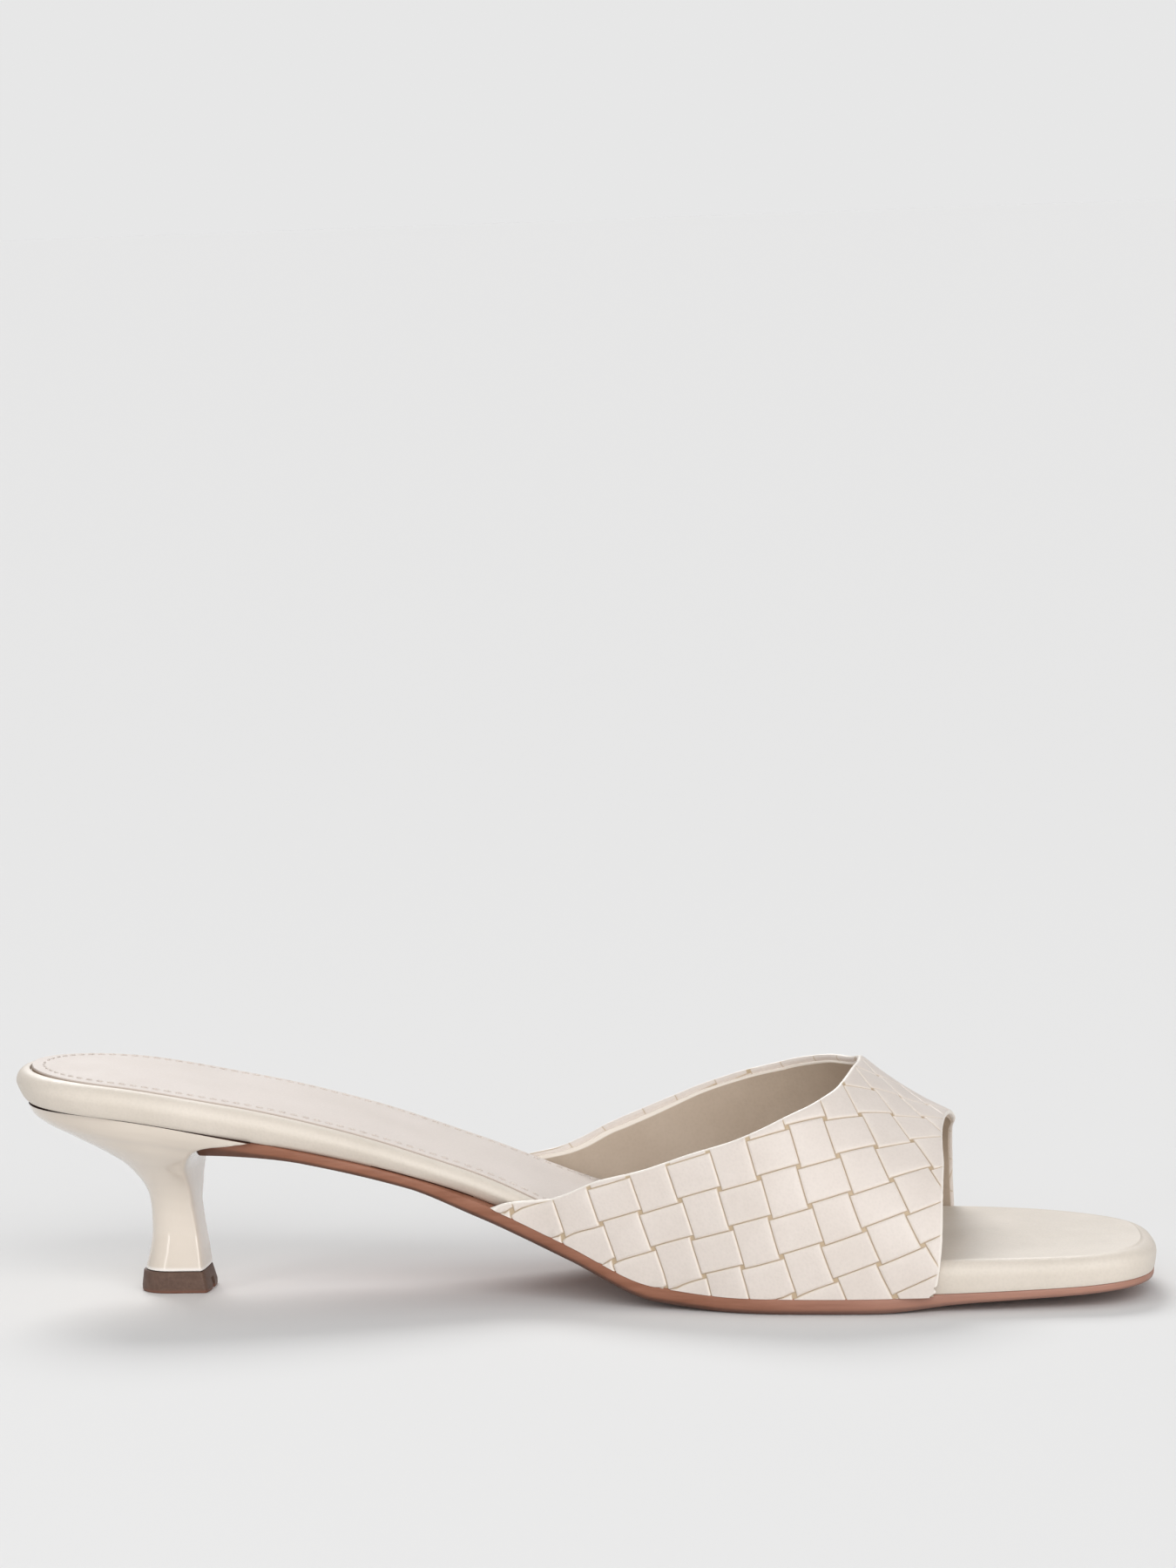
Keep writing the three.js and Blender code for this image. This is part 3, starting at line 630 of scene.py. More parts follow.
footbed_look = leather("footbed_leather", (219, 209, 197), (211, 201, 188), 0.46)
sock_look = leather("sock_leather", (221, 211, 204), (214, 204, 196), 0.6, grain=1900)
# The sock's rim is dark: partly its raw cut edge, partly painted shade in the line along the footbed.
sock_look.overlay(sock_look.attribute("raw_edge_and_shade"), (140, 116, 94))
lining_look = leather("lining_leather", (190, 174, 157), (176, 159, 141), 0.62, grain=1300, mottle=40)
lining_look.overlay(lining_look.attribute("rim"), (238, 230, 220))

thread_look = Look("sock_thread", 0.6)
thread_look.color(thread_look.ramp(thread_look.noise(3000), (206, 194, 184), (232, 224, 216)))
thread_look.bump((thread_look.cells(5200, stretch=(1, 3, 3)), 0.00006))

lacquer_look = Look("heel_lacquer", 0.16, 0.5)
lacquer_look.shader.inputs["Coat Weight"].default_value = 0.6
lacquer_look.shader.inputs["Coat Roughness"].default_value = 0.06
cloud = lacquer_look.noise(30, 3)
lacquer_look.color(lacquer_look.ramp(cloud, (211, 199, 185), (218, 207, 194), 0.35, 0.65))
# Painted highlight: a pale band along the heel's foot, just above the top piece.
foot_highlight = lacquer_look.band(lacquer_look.coordinate("Z"), 0.0051, 0.0059, 1.0, 0.0)
lacquer_look.overlay(foot_highlight, (246, 242, 237))
lacquer_look.roughness(lacquer_look.band(lacquer_look.noise(420, 4), 0.35, 0.65, 0.12, 0.22))
lacquer_look.bump((lacquer_look.noise(160, 2), 0.00002))

sole_look = Look("sole_leather", 0.5, 0.35)
edge_share = sole_look.attribute("edge")
streaks = sole_look.noise(70, 5, 0.65, stretch=(1, 1, 9))
stained = sole_look.ramp(streaks, (134, 86, 64), (155, 106, 84))
bevel = sole_look.ramp(streaks, (84, 54, 41), (106, 71, 56))
sole_look.color(sole_look.mix(edge_share, bevel, stained))
sole_look.overlay(sole_look.band(sole_look.coordinate("X"), 0.03, 0.08, 0.0, 0.35), (196, 156, 142))
sole_look.roughness(sole_look.band(sole_look.noise(300, 4), 0.3, 0.7, 0.4, 0.6))
fibres = sole_look.noise(240, 5, 0.7, stretch=(1, 1, 4))
sole_look.bump((fibres, 0.00008), (sole_look.noise(1400, 3), 0.00002))

rubber_look = Look("tip_rubber", 0.55, 0.35)
specks = rubber_look.noise(900, 4, 0.7)
rubber_look.color(rubber_look.ramp(specks, (86, 65, 55), (104, 81, 69)))
rubber_look.overlay(rubber_look.band(rubber_look.coordinate("Z"), 0.0003, 0.0009, 1.0, 0.0), (120, 80, 64))
rubber_look.bump((rubber_look.noise(700, 4), 0.00005), (specks, 0.00002))


# Footbed: a board in a leather wrap, with a rolled top edge
def rim_top(x):
    return seat_height(x) + footbed_thickness(x)


def make_footbed():
    def edge(inset, share):
        return FOOTBED_LINE, inset, lambda x, y: seat_height(x) + share * footbed_thickness(x)

    def drafted(lean):
        return lambda x: lean * FOOTBED_DRAFT * (1 - TOE_UPRIGHT * smoothstep(x, UPRIGHT_FROM, UPRIGHT_TO))

    def into_bed(x, y):
        return BED_SHARE * footbed_top(x, y) + (1 - BED_SHARE) * rim_top(x)

    rolled = EDGE_SHARE * FOOTBED_EDGE / FOOTBED_THICKNESS
    rings = [edge(drafted(FOOT_LEAN), 0), edge(drafted(1), FOOT_SHARE)]
    for share in np.linspace(SIDE_SHARE, 1 - rolled, 6):
        rings.append(edge(drafted((1 - share / (1 - rolled)) ** SIDE_CURVE), share))
    for turn in np.radians(np.linspace(10, 90, 9)):
        inset = FOOTBED_EDGE * (1 - math.cos(turn) ** EDGE_FULLNESS)
        rings.append(edge(inset, 1 - rolled * (1 - math.sin(turn) ** EDGE_FULLNESS)))
    rings.append((FOOTBED_LINE, FOOTBED_EDGE + 0.4 * GAP, into_bed))
    rings.append((FOOTBED_LINE, FOOTBED_EDGE + GAP, footbed_top))
    materials = [footbed_look.material, sole_look.material]
    piece = mesh_piece("footbed_wrap", *stack(200, 28, rings), materials, 50)
    # The underside takes the dark sole material: partly the bare board, partly painted shade in the opening
    # at the seat.
    for face in piece.data.polygons:
        if face.normal.z < BARE_AND_SHADED_BELOW:
            face.material_index = 1
    return piece


# Sock: thin leather on the footbed with a curved front edge, and its stitches
def sock_line_front(y):
    return SOCK_LENGTH - SOCK_FRONT_RADIUS + np.sqrt(SOCK_FRONT_RADIUS**2 - y**2)


def sock_rows(count, across):
    """The sock's place at the heel, and rows of places across it, the last ones bent to its front edge."""

    def border(side):
        line, normals = side_line(FOOTBED_LINE, side, 900)
        line = line - SOCK_INSET * normals
        return evenly(line[line[:, 0] <= sock_line_front(line[:, 1])], count)

    one, other = border(INNER), border(OUTER)
    share = np.linspace(0, 1, across + 1)[None, :, None]
    rows = one[1:, None] * (1 - share) + other[1:, None] * share
    pull = sock_line_front(rows[-1, :, 1]) - rows[-1, :, 0]
    rows[:, :, 0] += pull * smoothstep(np.linspace(0, 1, count), SOCK_BEND, 1)[:, None]
    return one[:1], rows


def make_sock():
    """A sheet with its two sides and a rounded rim, which is a third ring of points between them."""
    count, across = 260, 30
    heel_end, rows = sock_rows(count, across)
    sheet = np.concatenate([heel_end, rows.reshape(-1, 2)])
    border = [0] + [1 + i * (across + 1) for i in range(count)]
    border += [1 + (count - 1) * (across + 1) + j for j in range(1, across + 1)]
    border += [1 + i * (across + 1) + across for i in range(count - 2, -1, -1)]
    faces = [(0, 1 + j, 2 + j) for j in range(across)]
    for i in range(count - 1):
        for j in range(across):
            a = 1 + i * (across + 1) + j
            faces.append((a, a + across + 1, a + across + 2, a + 1))

    def lifted(places, gauge):
        return np.column_stack([places, footbed_top(places[:, 0], places[:, 1]) + gauge])

    edge = sheet[border]
    tangent = np.roll(edge, -1, axis=0) - np.roll(edge, 1, axis=0)
    tangent /= np.linalg.norm(tangent, axis=1)[:, None]
    outward = np.stack([tangent[:, 1], -tangent[:, 0]], -1)
    over = sheet.copy()
    over[border] -= SOCK_TUCK * outward
    rim = edge + SOCK_BULGE * outward
    gauge = SOCK_GAUGE + SOCK_PAD + GAP
    layers = [lifted(sheet, SOCK_CLEAR), lifted(over, gauge), lifted(rim, SOCK_MIDDLE * gauge)]
    points = np.concatenate(layers)
    n, m = len(sheet), len(border)
    solid = [tuple(reversed(face)) for face in faces]
    solid += [tuple(v + n for v in face) for face in faces]
    for k in range(m):
        after = (k + 1) % m
        a, b = border[k], border[after]
        c, d = 2 * n + k, 2 * n + after
        solid += [(a, b, d, c), (c, d, b + n, a + n)]
    piece = mesh_piece("sock_leather", points, solid, [sock_look.material], 50)
    # The rim and border take the dark edge colour: partly the raw cut edge, partly painted shade.
    raw_edge_and_shade = np.zeros(len(points))
    raw_edge_and_shade[border], raw_edge_and_shade[2 * n :] = 1, 1
    write_values(piece, "raw_edge_and_shade", raw_edge_and_shade)
    return piece


def thread(spine, first):
    """Points and faces of a short thread along a spine of places, thin at its ends, numbered from first."""
    sides, last = 6, len(spine) - 1
    ahead = spine[-1] - spine[0]
    ahead /= np.linalg.norm(ahead)
    across = np.cross([0, 0, 1], ahead)
    across /= np.linalg.norm(across)
    up = np.cross(ahead, across)
    points, faces = [], []
    for k, centre in enumerate(spine):
        off = abs(k - last / 2) / (last / 2 + 0.25)
        thin = math.sqrt(max(1 - off**4, 0.05)) * STITCH_WIDTH / 2
        for turn in np.radians(np.arange(0, 360, 360 // sides)):
            points.append(centre + thin * (math.cos(turn) * across + math.sin(turn) * up))
    for k in range(last):
        for j in range(sides):
            a, b = first + sides * k + j, first + sides * k + (j + 1) % sides
            faces.append((a, b, b + sides, a + sides))
    faces.append(tuple(first + j for j in range(sides - 1, -1, -1)))
    faces.append(tuple(first + last * sides + j for j in range(sides)))
    return points, faces


def make_stitches():
    """Threads that lie along the sock's edge on both sides, from the back of the heel to under the band."""
    points, faces = [], []
    sag = STITCH_SAG * np.abs(np.linspace(-1, 1, 7)) ** 3
    for side in (INNER, OUTER):
        line, normals = side_line(FOOTBED_LINE, side, 1200)
        path = line - STITCH_INSET * normals
        path = path[path[:, 0] < STITCH_FRONT]
        travelled = travel(path)
        for start in np.arange(STITCH_PITCH / 2, travelled[-1] - STITCH_LENGTH, STITCH_PITCH):
            places = np.linspace(start, start + STITCH_LENGTH, len(sag))
            x, y = (np.interp(places, travelled, path[:, k]) for k in (0, 1))
            z = footbed_top(x, y) + SOCK_GAUGE + SOCK_PAD + GAP + STITCH_LIFT - sag
            made = thread(np.column_stack([x, y, z]), len(points))
            points += made[0]
            faces += made[1]
    return mesh_piece("sock_stitching", points, faces, [thread_look.material])


# Outsole and the body that makes room for its tongue in the heel
def outsole_body(line, clearance, rounded):
    def at(inset, share):
        def height(x, y):
            bottom, top = sole_bottom(x) - clearance, sole_top(x) + clearance
            return bottom + (top - bottom) * share

        return line, inset, height

    def bevelled(share):
        return lambda x: share * SOLE_BEVEL * (sole_gauge(x) / SOLE_GAUGE) ** 2

    if not rounded:
        return stack(160, 12, [at(bevelled(1), 0), at(bevelled(0.35), 0.2), at(0, 0.55), at(0, 1)])
    rings = [at(bevelled(part), share) for part, share in SOLE_BEVELLED]
    rings += [at(inset, share) for inset, share in SOLE_UPRIGHT]
    return stack(260, 24, rings)


def make_outsole():
    points, faces = outsole_body(OUTSOLE_LINE, 0, True)
    piece = mesh_piece("outsole_leather", points, faces, [sole_look.material], 50)
    bottom, top = sole_bottom(points[:, 0]), sole_top(points[:, 0])
    share = np.clip((points[:, 2] - bottom) / (top - bottom), 0, 1)
    stain = smoothstep(share, DARK_TO, STAINED_FROM)
    write_values(piece, "edge", np.where(share < UNDERSIDE, UNDERSIDE_STAIN, stain))
    return piece


# The heel from its top piece up to the seat: share of the way up, back end, dip and wing of its front,
# width as a share of the seat, and share of its length that the rounded back takes.
HEEL = [
    (0.0, 0.934, -1.8, 0, TIP_WIDTH / SEAT_WIDTH, 0.5),
    (0.135, 0.98, -1.35, 0, 0.237, 0.55),
    (0.25, 1, -0.8, 0, NECK_WIDTH / SEAT_WIDTH, 0.6),
    (0.35, 1, -0.35, 0, 0.226, 0.65),
    (0.44, 0.99, 0, 0, 0.253, 0.68),
    (0.52, 0.955, -0.1, 0, 0.31, 0.7),
    (0.585, 0.895, 0, 0, 0.38, 0.72),
    (0.665, 0.79, 0, 0.005, 0.49, 0.74),
    (0.73, 0.645, 0, 0.04, 0.6, 0.74),
    (0.8, 0.46, 0, 0.12, 0.71, 0.7),
    (0.85, 0.325, 0, 0.21, 0.77, 0.66),
    (0.885, 0.23, 0, 0.32, 0.82, 0.62),
    (0.916, 0.165, 0, 0.48, 0.85, 0.59),
    (0.94, 0.12, 0, 0.65, 0.87, 0.57),
    (0.975, 0.09, 0, 0.86, 0.89, 0.53),
    (1.0, 0.08, 0, 1, 0.9, 0.5),
]
HEEL_CURVES = [column_curve(HEEL, column) for column in range(1, 6)]

# The heel's rounded foot: share of the way up, and how far in it stands.
HEEL_FOOT = [(0, 0.35), (0.003, 0.12), (0.009, 0)]


def heel_line(share):
    back, dip, wing, width, rounded = (float(curve(share)) for curve in HEEL_CURVES)
    back *= HEEL_BACK
    front = HEEL_BREAST - dip * BREAST_DIP + wing * HEEL_WING
    return {
        "back": back,
        "front": front,
        "back_round": rounded * (front - back),
        "back_power": 2,
        "front_round": lambda side: BREAST_CORNER,
        "front_power": 3,
        "slant": 0,
        "width": lambda x: width * SEAT_WIDTH + 0 * x,
        "centre": lambda x: 0 * x,
    }


def heel_top(x):
    """The heel meets the footbed at its wings, and stands a little open at the back."""
    return seat_height(x) - HEEL_SEAM - SEAT_OPENING * (1 - smoothstep(x, 0, SEAT_OPENING_LENGTH))


def make_heel():
    def ring(share, inset=0):
        def height(x, y):
            start = TIP_HEIGHT + TIP_SEAM
            return start + (heel_top(x) - start) * share

        return heel_line(share), inset, height

    rings = [ring(share, inset) for share, inset in HEEL_FOOT]
    rings += [ring(share) for share in np.linspace(0.02, 1, 96)]
    heel = mesh_piece("heel_lacquer", *stack(110, 24, rings), [lacquer_look.material])
    pocket = dict(OUTSOLE_LINE, back=TONGUE_START - POCKET_ROOM)
    pocket["width"] = lambda x: outsole_width(x) + 2 * POCKET_ROOM
    room = mesh_piece("pocket", *outsole_body(pocket, POCKET_ROOM, False), [])
    heel = cut(heel, room, "heel_lacquer", 40)
    # Painted shade: the heel's top faces take the dark sole material, so the opening under the footbed's back
    # shows dark.
    heel.data.materials.append(sole_look.material)
    for face in heel.data.polygons:
        if face.normal.z > SHADED_SEAT_ABOVE and face.center.z > 3 * TIP_HEIGHT * MM:
            face.material_index = 1
    return heel


def make_tip():
    foot = heel_line(0)
    top = dict(foot, back=foot["back"] - TIP_FLARE)
    flared = dict(foot, back=foot["back"] - 2 * TIP_FLARE, front=foot["front"] + 2 * TIP_FLARE)

    def at(line, inset, z):
        return line, inset, lambda x, y: z + 0 * x

    rings = []
    for turn in np.radians(np.linspace(0, 90, 6)):
        rings.append(at(flared, TIP_FLARE * (1 - math.sin(turn)), TIP_FLARE * (1 - math.cos(turn))))
    rings.append(at(flared, 0, TIP_FLARE_UP * TIP_HEIGHT + TIP_EASE))
    rings += [at(top, 0, TIP_SHOULDER * TIP_HEIGHT), at(top, TIP_TUCK, TIP_HEIGHT)]
    tip = mesh_piece("tip_rubber", *stack(80, 14, rings), [rubber_look.material])
    corners = [
        (foot["front"] + TIP_FLARE + a * NOTCH_DEPTH, b * NOTCH_WIDTH / 2, c * NOTCH_HEIGHT)
        for a in (-1, 1)
        for b in (-1, 1)
        for c in (-1, 1)
    ]
    sides = [(0, 1, 3, 2), (4, 6, 7, 5), (0, 4, 5, 1), (2, 3, 7, 6), (0, 2, 6, 4), (1, 5, 7, 3)]
    return cut(tip, mesh_piece("notch", corners, sides, []), "tip_rubber", 35)


# The form that the band is shaped on
RIDGE_FALL = THROAT_HEIGHT - TOE_LINE_HEIGHT
RIDGE_ANGLE = math.atan(RIDGE_FALL / (TOE_LINE - THROAT))


def ridge_height(x):
    s = (x - THROAT) / (TOE_LINE - THROAT)
    eased = np.where(s < 0, s * (1 + RIDGE_EASE), s * (1 + RIDGE_EASE * (1 - s)))
    return THROAT_HEIGHT - RIDGE_FALL * eased


def on_form(x, side, turn):
    """Places on the form: turn is 0 on the ridge and 1 at the outsole, and past that the wall runs down."""
    base = seat_height(x)
    half = footbed_width(x) / 2 + 2 * GAP + WALL
    angle = math.pi / 2 * (1 - np.clip(turn, 0, 1))
    below = np.maximum(turn - 1, 0) * THROAT_HEIGHT
    y = footbed_centre(x) + side * half * np.cos(angle) ** (2 / FORM_POWER)
    z = base + (ridge_height(x) - base) * np.sin(angle) ** (2 / FORM_POWER) - below
    return np.stack([x, y, z], -1)


def form_frame(x, side, turn):
    """The place on the form, its outward normal, and its two directions along x and along turn."""
    step = 1e-3
    here = on_form(x, side, turn)
    along = (on_form(x + step, side, turn) - on_form(x - step, side, turn)) / (2 * step)
    low = np.maximum(turn, 2 * step)
    down = (on_form(x, side, low + step) - on_form(x, side, low - step)) / (2 * step)
    normal = np.cross(along, down) * np.asarray(side)[..., None]
    normal[..., 1] = np.where(turn < 2 * step, 0, normal[..., 1])
    normal /= np.linalg.norm(normal, axis=-1)[..., None]
    return here, normal, along, down


# The band's edges: turn, how far back the topline lies on the inner and on the outer side as a share of
# the way to the wing's end, and how far the toe line lies before its place on the ridge, on the inner and
# on the outer side, as a share of its sway.
EDGES = [
    (0.0, 0, 0, 0, 0),
    (0.15, 0.01, 0.008, 0.1, 0.3),
    (0.3, 0.032, 0.034, 0.5, 0.55),
    (0.45, 0.087, 0.117, 1, -0.4),
    (0.6, 0.19, 0.245, 1, -0.9),
    (0.7, 0.295, 0.375, 1, -1.1),
    (0.8, 0.465, 0.54, 0.9, -1.3),
    (0.9, 0.685, 0.715, 0.5, -1.3),
    (0.96, 0.82, 0.845, 0, -1.3),
    (1.0, 1, 1, -0.5, -1.3),
]
inner_topline, outer_topline, inner_toe_line, outer_toe_line = (column_curve(EDGES, n) for n in range(1, 5))


def band_back(side, turn):
    inner = THROAT + (WING_INNER - THROAT) * inner_topline(turn)
    outer = THROAT + (WING_OUTER - THROAT) * outer_topline(turn)
    return np.where(np.asarray(side) < 0, inner, outer)


def band_front(side, turn):
    sway = np.where(np.asarray(side) < 0, inner_toe_line(turn), outer_toe_line(turn))
    return TOE_LINE + TOE_LINE_SWAY * sway


def leather_on_form(along, around):
    """Where places on the flat leather come to lie on the form, as x, side and turn."""
    side = np.where(around < 0, INNER, OUTER)
    c, s = math.cos(RIDGE_ANGLE), math.sin(RIDGE_ANGLE)

    def station(p):
        return p[:, 0] * c - p[:, 2] * s

    wanted = station(on_form(np.full_like(along, THROAT), side, np.zeros_like(along))) + along
    steps, nudge = 60, 0.1
    x = THROAT + along * c
    turn = np.zeros_like(along)
    travelled = np.zeros_like(along)
    found_x, found_turn = np.full_like(along, np.nan), np.full_like(along, np.nan)
    before = None
    need = np.abs(around)
    for k in range(steps + 1):
        next_turn = np.full_like(along, LEATHER_REACH * k / steps)
        next_x = x.copy()
        for _ in range(3):
            miss = station(on_form(next_x, side, next_turn)) - wanted
            slope = station(on_form(next_x + nudge, side, next_turn)) - wanted - miss
            next_x -= nudge * miss / slope
        here = on_form(next_x, side, next_turn)
        if before is not None:
            step = np.linalg.norm(here - before, axis=1)
            hit = np.isnan(found_x) & (travelled + step >= need)
            part = (need - travelled) / step
            found_x[hit] = (x + (next_x - x) * part)[hit]
            found_turn[hit] = (turn + (next_turn - turn) * part)[hit]
            travelled += step
        x, turn, before = next_x, next_turn, here
    return found_x, side, found_turn


def weave_lines(pitch):
    """Places of grid lines over one pitch, measured from the middle between two tiles, close at edges."""
    e, s = WEAVE_OVERLAP, WEAVE_SHOULDER
    half = [0, 0.6 * e, e, e + 0.12 * s, e + 0.34 * s, e + 0.66 * s, e + s]
    rest = (pitch / 2 - half[-1]) / 2.5
    half += [half[-1] + rest, half[-1] + 2 * rest]
    return np.array([-h for h in half[:0:-1]] + half)


def weave_height(u, v):
    """Height on the weave, 0 in the grooves and 1 on the tiles, whose strips go over and under in turn."""
    best = np.zeros_like(u)
    e = WEAVE_OVERLAP
    column, row = np.round(u / STRAND_LENGTH), np.round(v / STRAND_WIDTH)
    for di in (-1, 0, 1):
        for dj in (-1, 0, 1):
            i, j = column + di, row + dj
            level = (i + j) % 2 == 0
            half_u = STRAND_LENGTH / 2 + np.where(level, e, -e)
            half_v = STRAND_WIDTH / 2 + np.where(level, -e, e)
            in_u = half_u - np.abs(u - i * STRAND_LENGTH)
            in_v = half_v - np.abs(v - j * STRAND_WIDTH)
            rise = np.clip(np.minimum(in_u, in_v) / WEAVE_SHOULDER, 0, 1)
            across = np.where(level, in_v, in_u) / np.where(level, half_v, half_u)
            crown = 1 - TILE_CROWN + TILE_CROWN * (1 - (1 - np.clip(across, 0, 1)) ** 2)
            shape = (1 - (1 - rise) ** SHOULDER_CURVE) * crown
            best = np.maximum(best, np.where((in_u > 1e-6) & (in_v > 1e-6), shape, 0))
    return best


def clipped(points, faces, field, keep_both=False):
    """Points and faces cut along a field's zero line; what is below it goes, unless both sides are kept."""
    points, field = list(points), list(field)
    made, cuts = [], {}

    def crossing(a, b):
        key = (min(a, b), max(a, b))
        if key not in cuts:
            t = field[a] / (field[a] - field[b])
            points.append(points[a] + t * (points[b] - points[a]))
            field.append(0.0)
            cuts[key] = len(points) - 1
        return cuts[key]

    for face in faces:
        inside = [field[v] >= 0 for v in face]
        if all(inside) or (keep_both and not any(inside)):
            made.append(tuple(face))
            continue
        if not any(inside):
            continue
        ring, rest = [], []
        for k, a in enumerate(face):
            b = face[(k + 1) % len(face)]
            (ring if inside[k] else rest).append(a)
            if inside[k] == inside[(k + 1) % len(face)]:
                continue
            if field[a] != 0 and field[b] != 0:
                ring.append(crossing(a, b))
                rest.append(ring[-1])
            else:
                rest.append(a if inside[k] else b)
        rest = [v for k, v in enumerate(rest) if v != rest[k - 1]]
        if len(ring) >= 3:
            made.append(tuple(ring))
        if keep_both and len(rest) >= 3:
            made.append(tuple(rest))
    used = sorted({v for face in made for v in face})
    number = {v: k for k, v in enumerate(used)}
    return np.array([points[v] for v in used]), [tuple(number[v] for v in face) for face in made]


def edge_distance(x, side, turn, edge, inward):
    """Distance on the form from an edge of the band, + inside it, and the way in as x and turn per mm."""
    step = 1e-3
    turn = np.minimum(turn, 0.999)
    field = inward * (x - edge(side, turn))
    before = np.maximum(turn - step, 0)
    slope = -inward * (edge(side, turn + step) - edge(side, before)) / (turn + step - before)
    _, _, along, down = form_frame(x, side, np.clip(turn, 0.004, 0.996))
    a = (along * along).sum(-1)
    b = (along * down).sum(-1)
    c = (down * down).sum(-1)
    det = a * c - b * b
    way_x = (c * inward - b * slope) / det
    way_turn = (a * slope - b * inward) / det
    size = np.sqrt(np.maximum(way_x * inward + way_turn * slope, 1e-9))
    return field / size, way_x / size, way_turn / size


def curled(x, side, turn, off):
    """Places on the band's leather, off its surface, rolled under at its edges, and how far in they lie."""
    r = EDGE_ROUND
    back, back_x, back_turn = edge_distance(x, side, turn, band_back, 1)
    front, front_x, front_turn = edge_distance(x, side, turn, band_front, -1)
    at_back = back < front
    d = np.where(at_back, back, front)
    way_x, way_turn = np.where(at_back, back_x, front_x), np.where(at_back, back_turn, front_turn)
    over = np.maximum(r - d, 0)
    foot_x = x + over * way_x
    foot_turn = np.clip(turn + over * way_turn, 0, LEATHER_REACH)
    here, normal, along, down = form_frame(foot_x, side, foot_turn)
    outward = -(along * way_x[:, None] + down * way_turn[:, None])
    outward -= (outward * normal).sum(-1)[:, None] * normal
    outward /= np.maximum(np.linalg.norm(outward, axis=1), 1e-9)[:, None]
    angle = np.clip(over / r, 0, math.pi)[:, None]
    run = np.maximum(over - math.pi * r, 0)[:, None]
    centre = here - r * normal
    radius = r + off[:, None]
    return centre + radius * (np.cos(angle) * normal + np.sin(angle) * outward) - run * outward, d


def weave_grid():
    """The flat leather's grid, with its lines close at the grooves: u and v of its points, and its quads."""

    def lines(pitch):
        middles = (np.arange(-WEAVE_REACH, WEAVE_REACH) + 0.5) * pitch
        return np.unique((middles[:, None] + weave_lines(pitch)).round(4))

    u, v = np.meshgrid(lines(STRAND_LENGTH), lines(STRAND_WIDTH), indexing="ij")
    corner = np.arange(u.size).reshape(u.shape)
    quads = np.stack([corner[:-1, :-1], corner[1:, :-1], corner[1:, 1:], corner[:-1, 1:]], -1)
    return u.ravel(), v.ravel(), quads.reshape(-1, 4)


def laid_leather():
    """The flat leather on the form: u, v, x and turn of its points, turn below 0 on the inner side; faces."""
    u, v, quads = weave_grid()
    turned = math.radians(WEAVE_ANGLE)
    along = (WEAVE_START + u) * math.cos(turned) - v * math.sin(turned)
    around = (WEAVE_START + u) * math.sin(turned) + v * math.cos(turned)
    near = (np.abs(around) < LEATHER_AROUND) & (along > LEATHER_BACK) & (along < LEATHER_FRONT)
    x, side, turn = leather_on_form(along[near], around[near])
    data = np.full((len(u), 4), np.nan)
    data[near] = np.column_stack([u[near], v[near], x, side * turn])
    good = (data[:, 2] > FORM_BACK) & (data[:, 2] < FORM_FRONT)
    used, faces = np.unique(quads[good[quads].all(1)], return_inverse=True)
    return data[used], faces.reshape(-1, 4).tolist()


def make_upper():
    data, faces = laid_leather()

    def distance(edge, inward):
        side = np.where(data[:, 3] < 0, INNER, OUTER)
        return edge_distance(data[:, 2], side, np.abs(data[:, 3]), edge, inward)[0]

    reach = (math.pi - 1) * EDGE_ROUND + FOLD_UNDER
    data, faces = clipped(data, faces, distance(band_back, 1) + reach)
    data, faces = clipped(data, faces, distance(band_front, -1) + reach)
    data, faces = clipped(data, faces, BAND_END - np.abs(data[:, 3]))
    for level in FOLD_LINES:
        data, faces = clipped(data, faces, distance(band_back, 1) - level, True)
        data, faces = clipped(data, faces, distance(band_front, -1) - level, True)

    u, v, x, signed = data.T
    side, turn = np.where(signed < 0, INNER, OUTER), np.abs(signed)
    height = weave_height(u, v)
    under, d = curled(x, side, turn, 0 * x - LEATHER_GAUGE)
    flatten = FLAT_SHARE + (1 - FLAT_SHARE) * smoothstep(d, 0, FLAT_EDGE)
    top, _ = curled(x, side, turn, WEAVE_DEPTH * (height - WEAVE_MIDDLE) * flatten)
    piece = thick_sheet("upper_woven", top, under, faces, upper_look, 55)
    # Painted shade in the grooves and a painted highlight on the tiles' shoulders, stored for the material.
    groove_shade = np.clip(1 - height / GROOVE_SHADE_BELOW, 0, 1) ** GROOVE_SHADE_CURVE
    lip_highlight = np.clip(1 - np.abs(height - LIP_HIGHLIGHT_HEIGHT) / LIP_HIGHLIGHT_SPREAD, 0, 1) * (d > 1)
    write_values(piece, "groove_shade", GROOVE_SHADE_TONE * groove_shade)
    write_values(piece, "lip_highlight", LIP_HIGHLIGHT_TONE * lip_highlight)
    write_values(piece, "rim", 1 - smoothstep(np.abs(d), PALE_EDGE, PALE_END))
    return piece


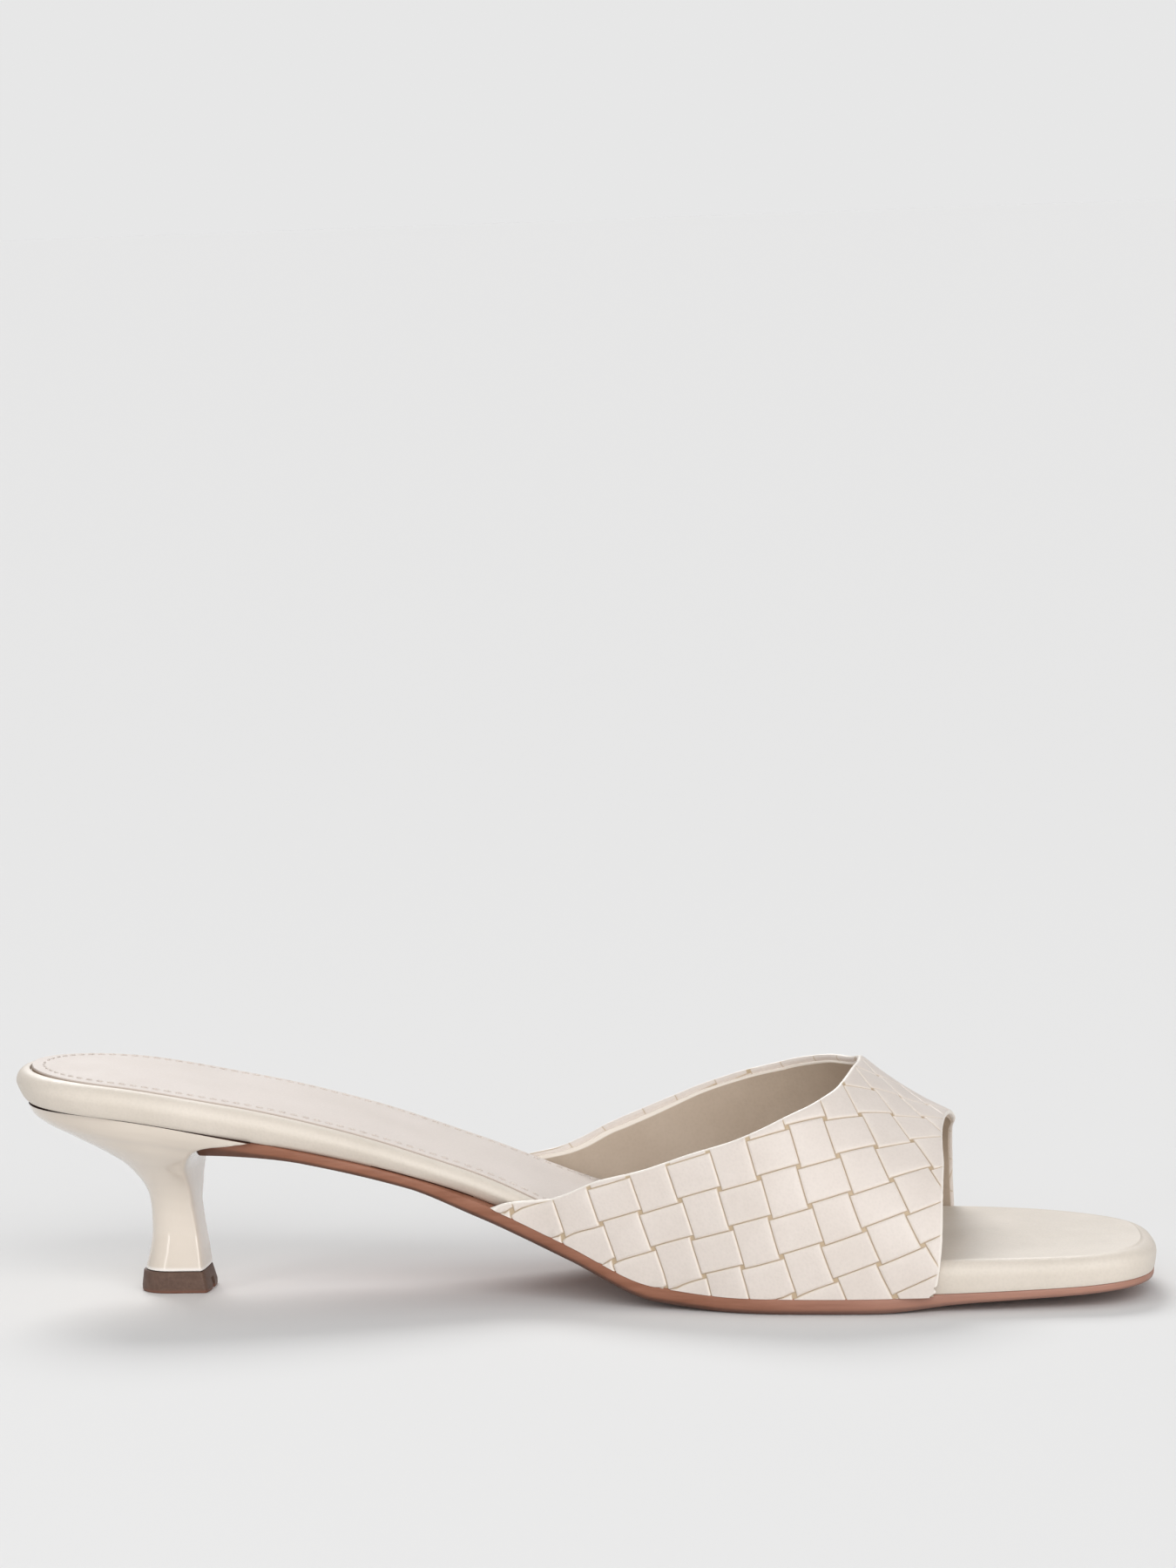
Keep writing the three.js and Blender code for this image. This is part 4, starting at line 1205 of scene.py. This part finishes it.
def make_lining():
    """The band's lining: one smooth sheet inside it, from near the topline to near the toe line."""
    along_count, around_count = 60, 110
    turns = BAND_END * (1 - (1 - np.linspace(0, 1, around_count + 1)) ** LINING_CROWD)
    signed = np.concatenate([-turns[:0:-1], turns])
    side, turn = np.where(signed < 0, INNER, OUTER), np.abs(signed)
    back, front = band_back(side, turn), band_front(side, turn)
    _, way_x, _ = edge_distance(back, side, turn, band_back, 1)
    back = back + LINING_EDGE / np.clip(way_x, LINING_SLOPE, 1)
    front = front - LINING_EDGE
    share = np.sort(np.append(np.linspace(0, 1, along_count + 1), LINING_RIM))
    x = back[:, None] + (front - back)[:, None] * share
    lines, row = x.shape
    here, normal, _, _ = form_frame(x.ravel(), np.repeat(side, row), np.repeat(turn, row))
    hidden = here - 2 * EDGE_ROUND * normal
    shown = hidden - LINING_GAUGE * normal
    starts = [i * row + j for i in range(lines - 1) for j in range(row - 1)]
    faces = [(a, a + 1, a + row + 1, a + row) for a in starts]
    piece = thick_sheet("upper_lining", hidden, shown, faces, lining_look, 50)
    write_values(piece, "rim", np.tile(share <= LINING_RIM, 2 * lines))
    return piece


# Camera at the photograph's angle: turned round the shoe, lifted and rolled as the photograph is
CAMERA_TURN = math.radians(7.587)
CAMERA_LIFT = math.radians(5.628)
CAMERA_ROLL = math.radians(-2.074)
CAMERA_AWAY = 1300
CAMERA_AIM = (129.65, 0, 110.47)
FRAME_TALL = 1800
FOCAL_PIXELS = 6837.6
SENSOR = 36

level = math.cos(CAMERA_LIFT)
away = Vector((math.sin(CAMERA_TURN) * level, -math.cos(CAMERA_TURN) * level, math.sin(CAMERA_LIFT)))
right = (-away).cross(Vector((0, 0, 1))).normalized()
up = right.cross(-away)
c, s = math.cos(CAMERA_ROLL), math.sin(CAMERA_ROLL)
right, up = c * right + s * up, -s * right + c * up
aim = Vector(placed([CAMERA_AIM])[0])
eye = aim + away * CAMERA_AWAY * MM
camera_data = bpy.data.cameras.new("camera")
camera_data.sensor_fit = "VERTICAL"
camera_data.sensor_height = SENSOR
camera_data.lens = FOCAL_PIXELS * SENSOR / FRAME_TALL
camera_data.clip_start, camera_data.clip_end = 0.05, 200
camera = added("camera", camera_data)
columns = Matrix((right, up, away)).transposed().to_4x4()
camera.matrix_world = Matrix.Translation(eye) @ columns
bpy.context.scene.camera = camera

# Studio: a pale floor that runs out to a background of its own brightness, and soft light
BACKGROUND = 0.80
SKY = (0.455, 0.46, 0.468, 1)
FLOOR = (0.77, 0.765, 0.758, 1)
FLOOR_REACH = 60000
world = bpy.data.worlds.new("studio")
world.use_nodes = True
sky_nodes, sky_links = world.node_tree.nodes, world.node_tree.links
seen = sky_nodes["Background"]
seen.inputs["Color"].default_value = (BACKGROUND, BACKGROUND, BACKGROUND, 1)
lighting = sky_nodes.new("ShaderNodeBackground")
lighting.inputs["Color"].default_value = SKY
either = sky_nodes.new("ShaderNodeMixShader")
sky_links.new(sky_nodes.new("ShaderNodeLightPath").outputs["Is Camera Ray"], either.inputs[0])
sky_links.new(lighting.outputs[0], either.inputs[1])
sky_links.new(seen.outputs[0], either.inputs[2])
sky_links.new(either.outputs[0], sky_nodes["World Output"].inputs["Surface"])
bpy.context.scene.world = world
bpy.context.scene.view_settings.view_transform = "Standard"
bpy.context.scene.view_settings.look = "None"

floor_look = Look("floor_paper", 0.9, 0.0)
floor_look.color(FLOOR)
corners = [(a * FLOOR_REACH, b * FLOOR_REACH, 0) for a, b in ((-1, -1), (1, -1), (1, 1), (-1, 1))]
floor = mesh_piece("floor", corners, [(0, 1, 2, 3)], [floor_look.material])


def facing(direction):
    """The turn of a lamp whose light comes from a direction."""
    return Vector(direction).to_track_quat("Z", "Y").to_matrix().to_4x4()


def sun(name, strength, softness, away_from):
    data = bpy.data.lights.new(name, "SUN")
    data.energy = strength
    data.angle = math.radians(softness)
    added(name, data).matrix_world = facing(away_from)


def softbox(name, power, width, tall, place, target):
    data = bpy.data.lights.new(name, "AREA")
    data.shape = "RECTANGLE"
    data.size, data.size_y = width, tall
    data.energy = power
    turned = facing(Vector(place) - Vector(target))
    added(name, data).matrix_world = Matrix.Translation(Vector(place)) @ turned


sun("key", 2.2, 60, (0.35, -0.85, 0.33))
sun("back", 1.65, 26, (-0.25, 0.75, 0.66))
softbox("strip", 1.2, 0.12, 0.9, (-0.75, -0.75, 0.35), (-0.1, 0, 0.02))

pieces = {
    "footbed": [make_footbed()],
    "sock": [make_sock(), make_stitches()],
    "outsole": [make_outsole()],
    "heel": [make_heel()],
    "heel_tip": [make_tip()],
    "upper": [make_upper(), make_lining()],
}
for node, made in pieces.items():
    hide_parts(node)
    for piece in made:
        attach(piece, "root")
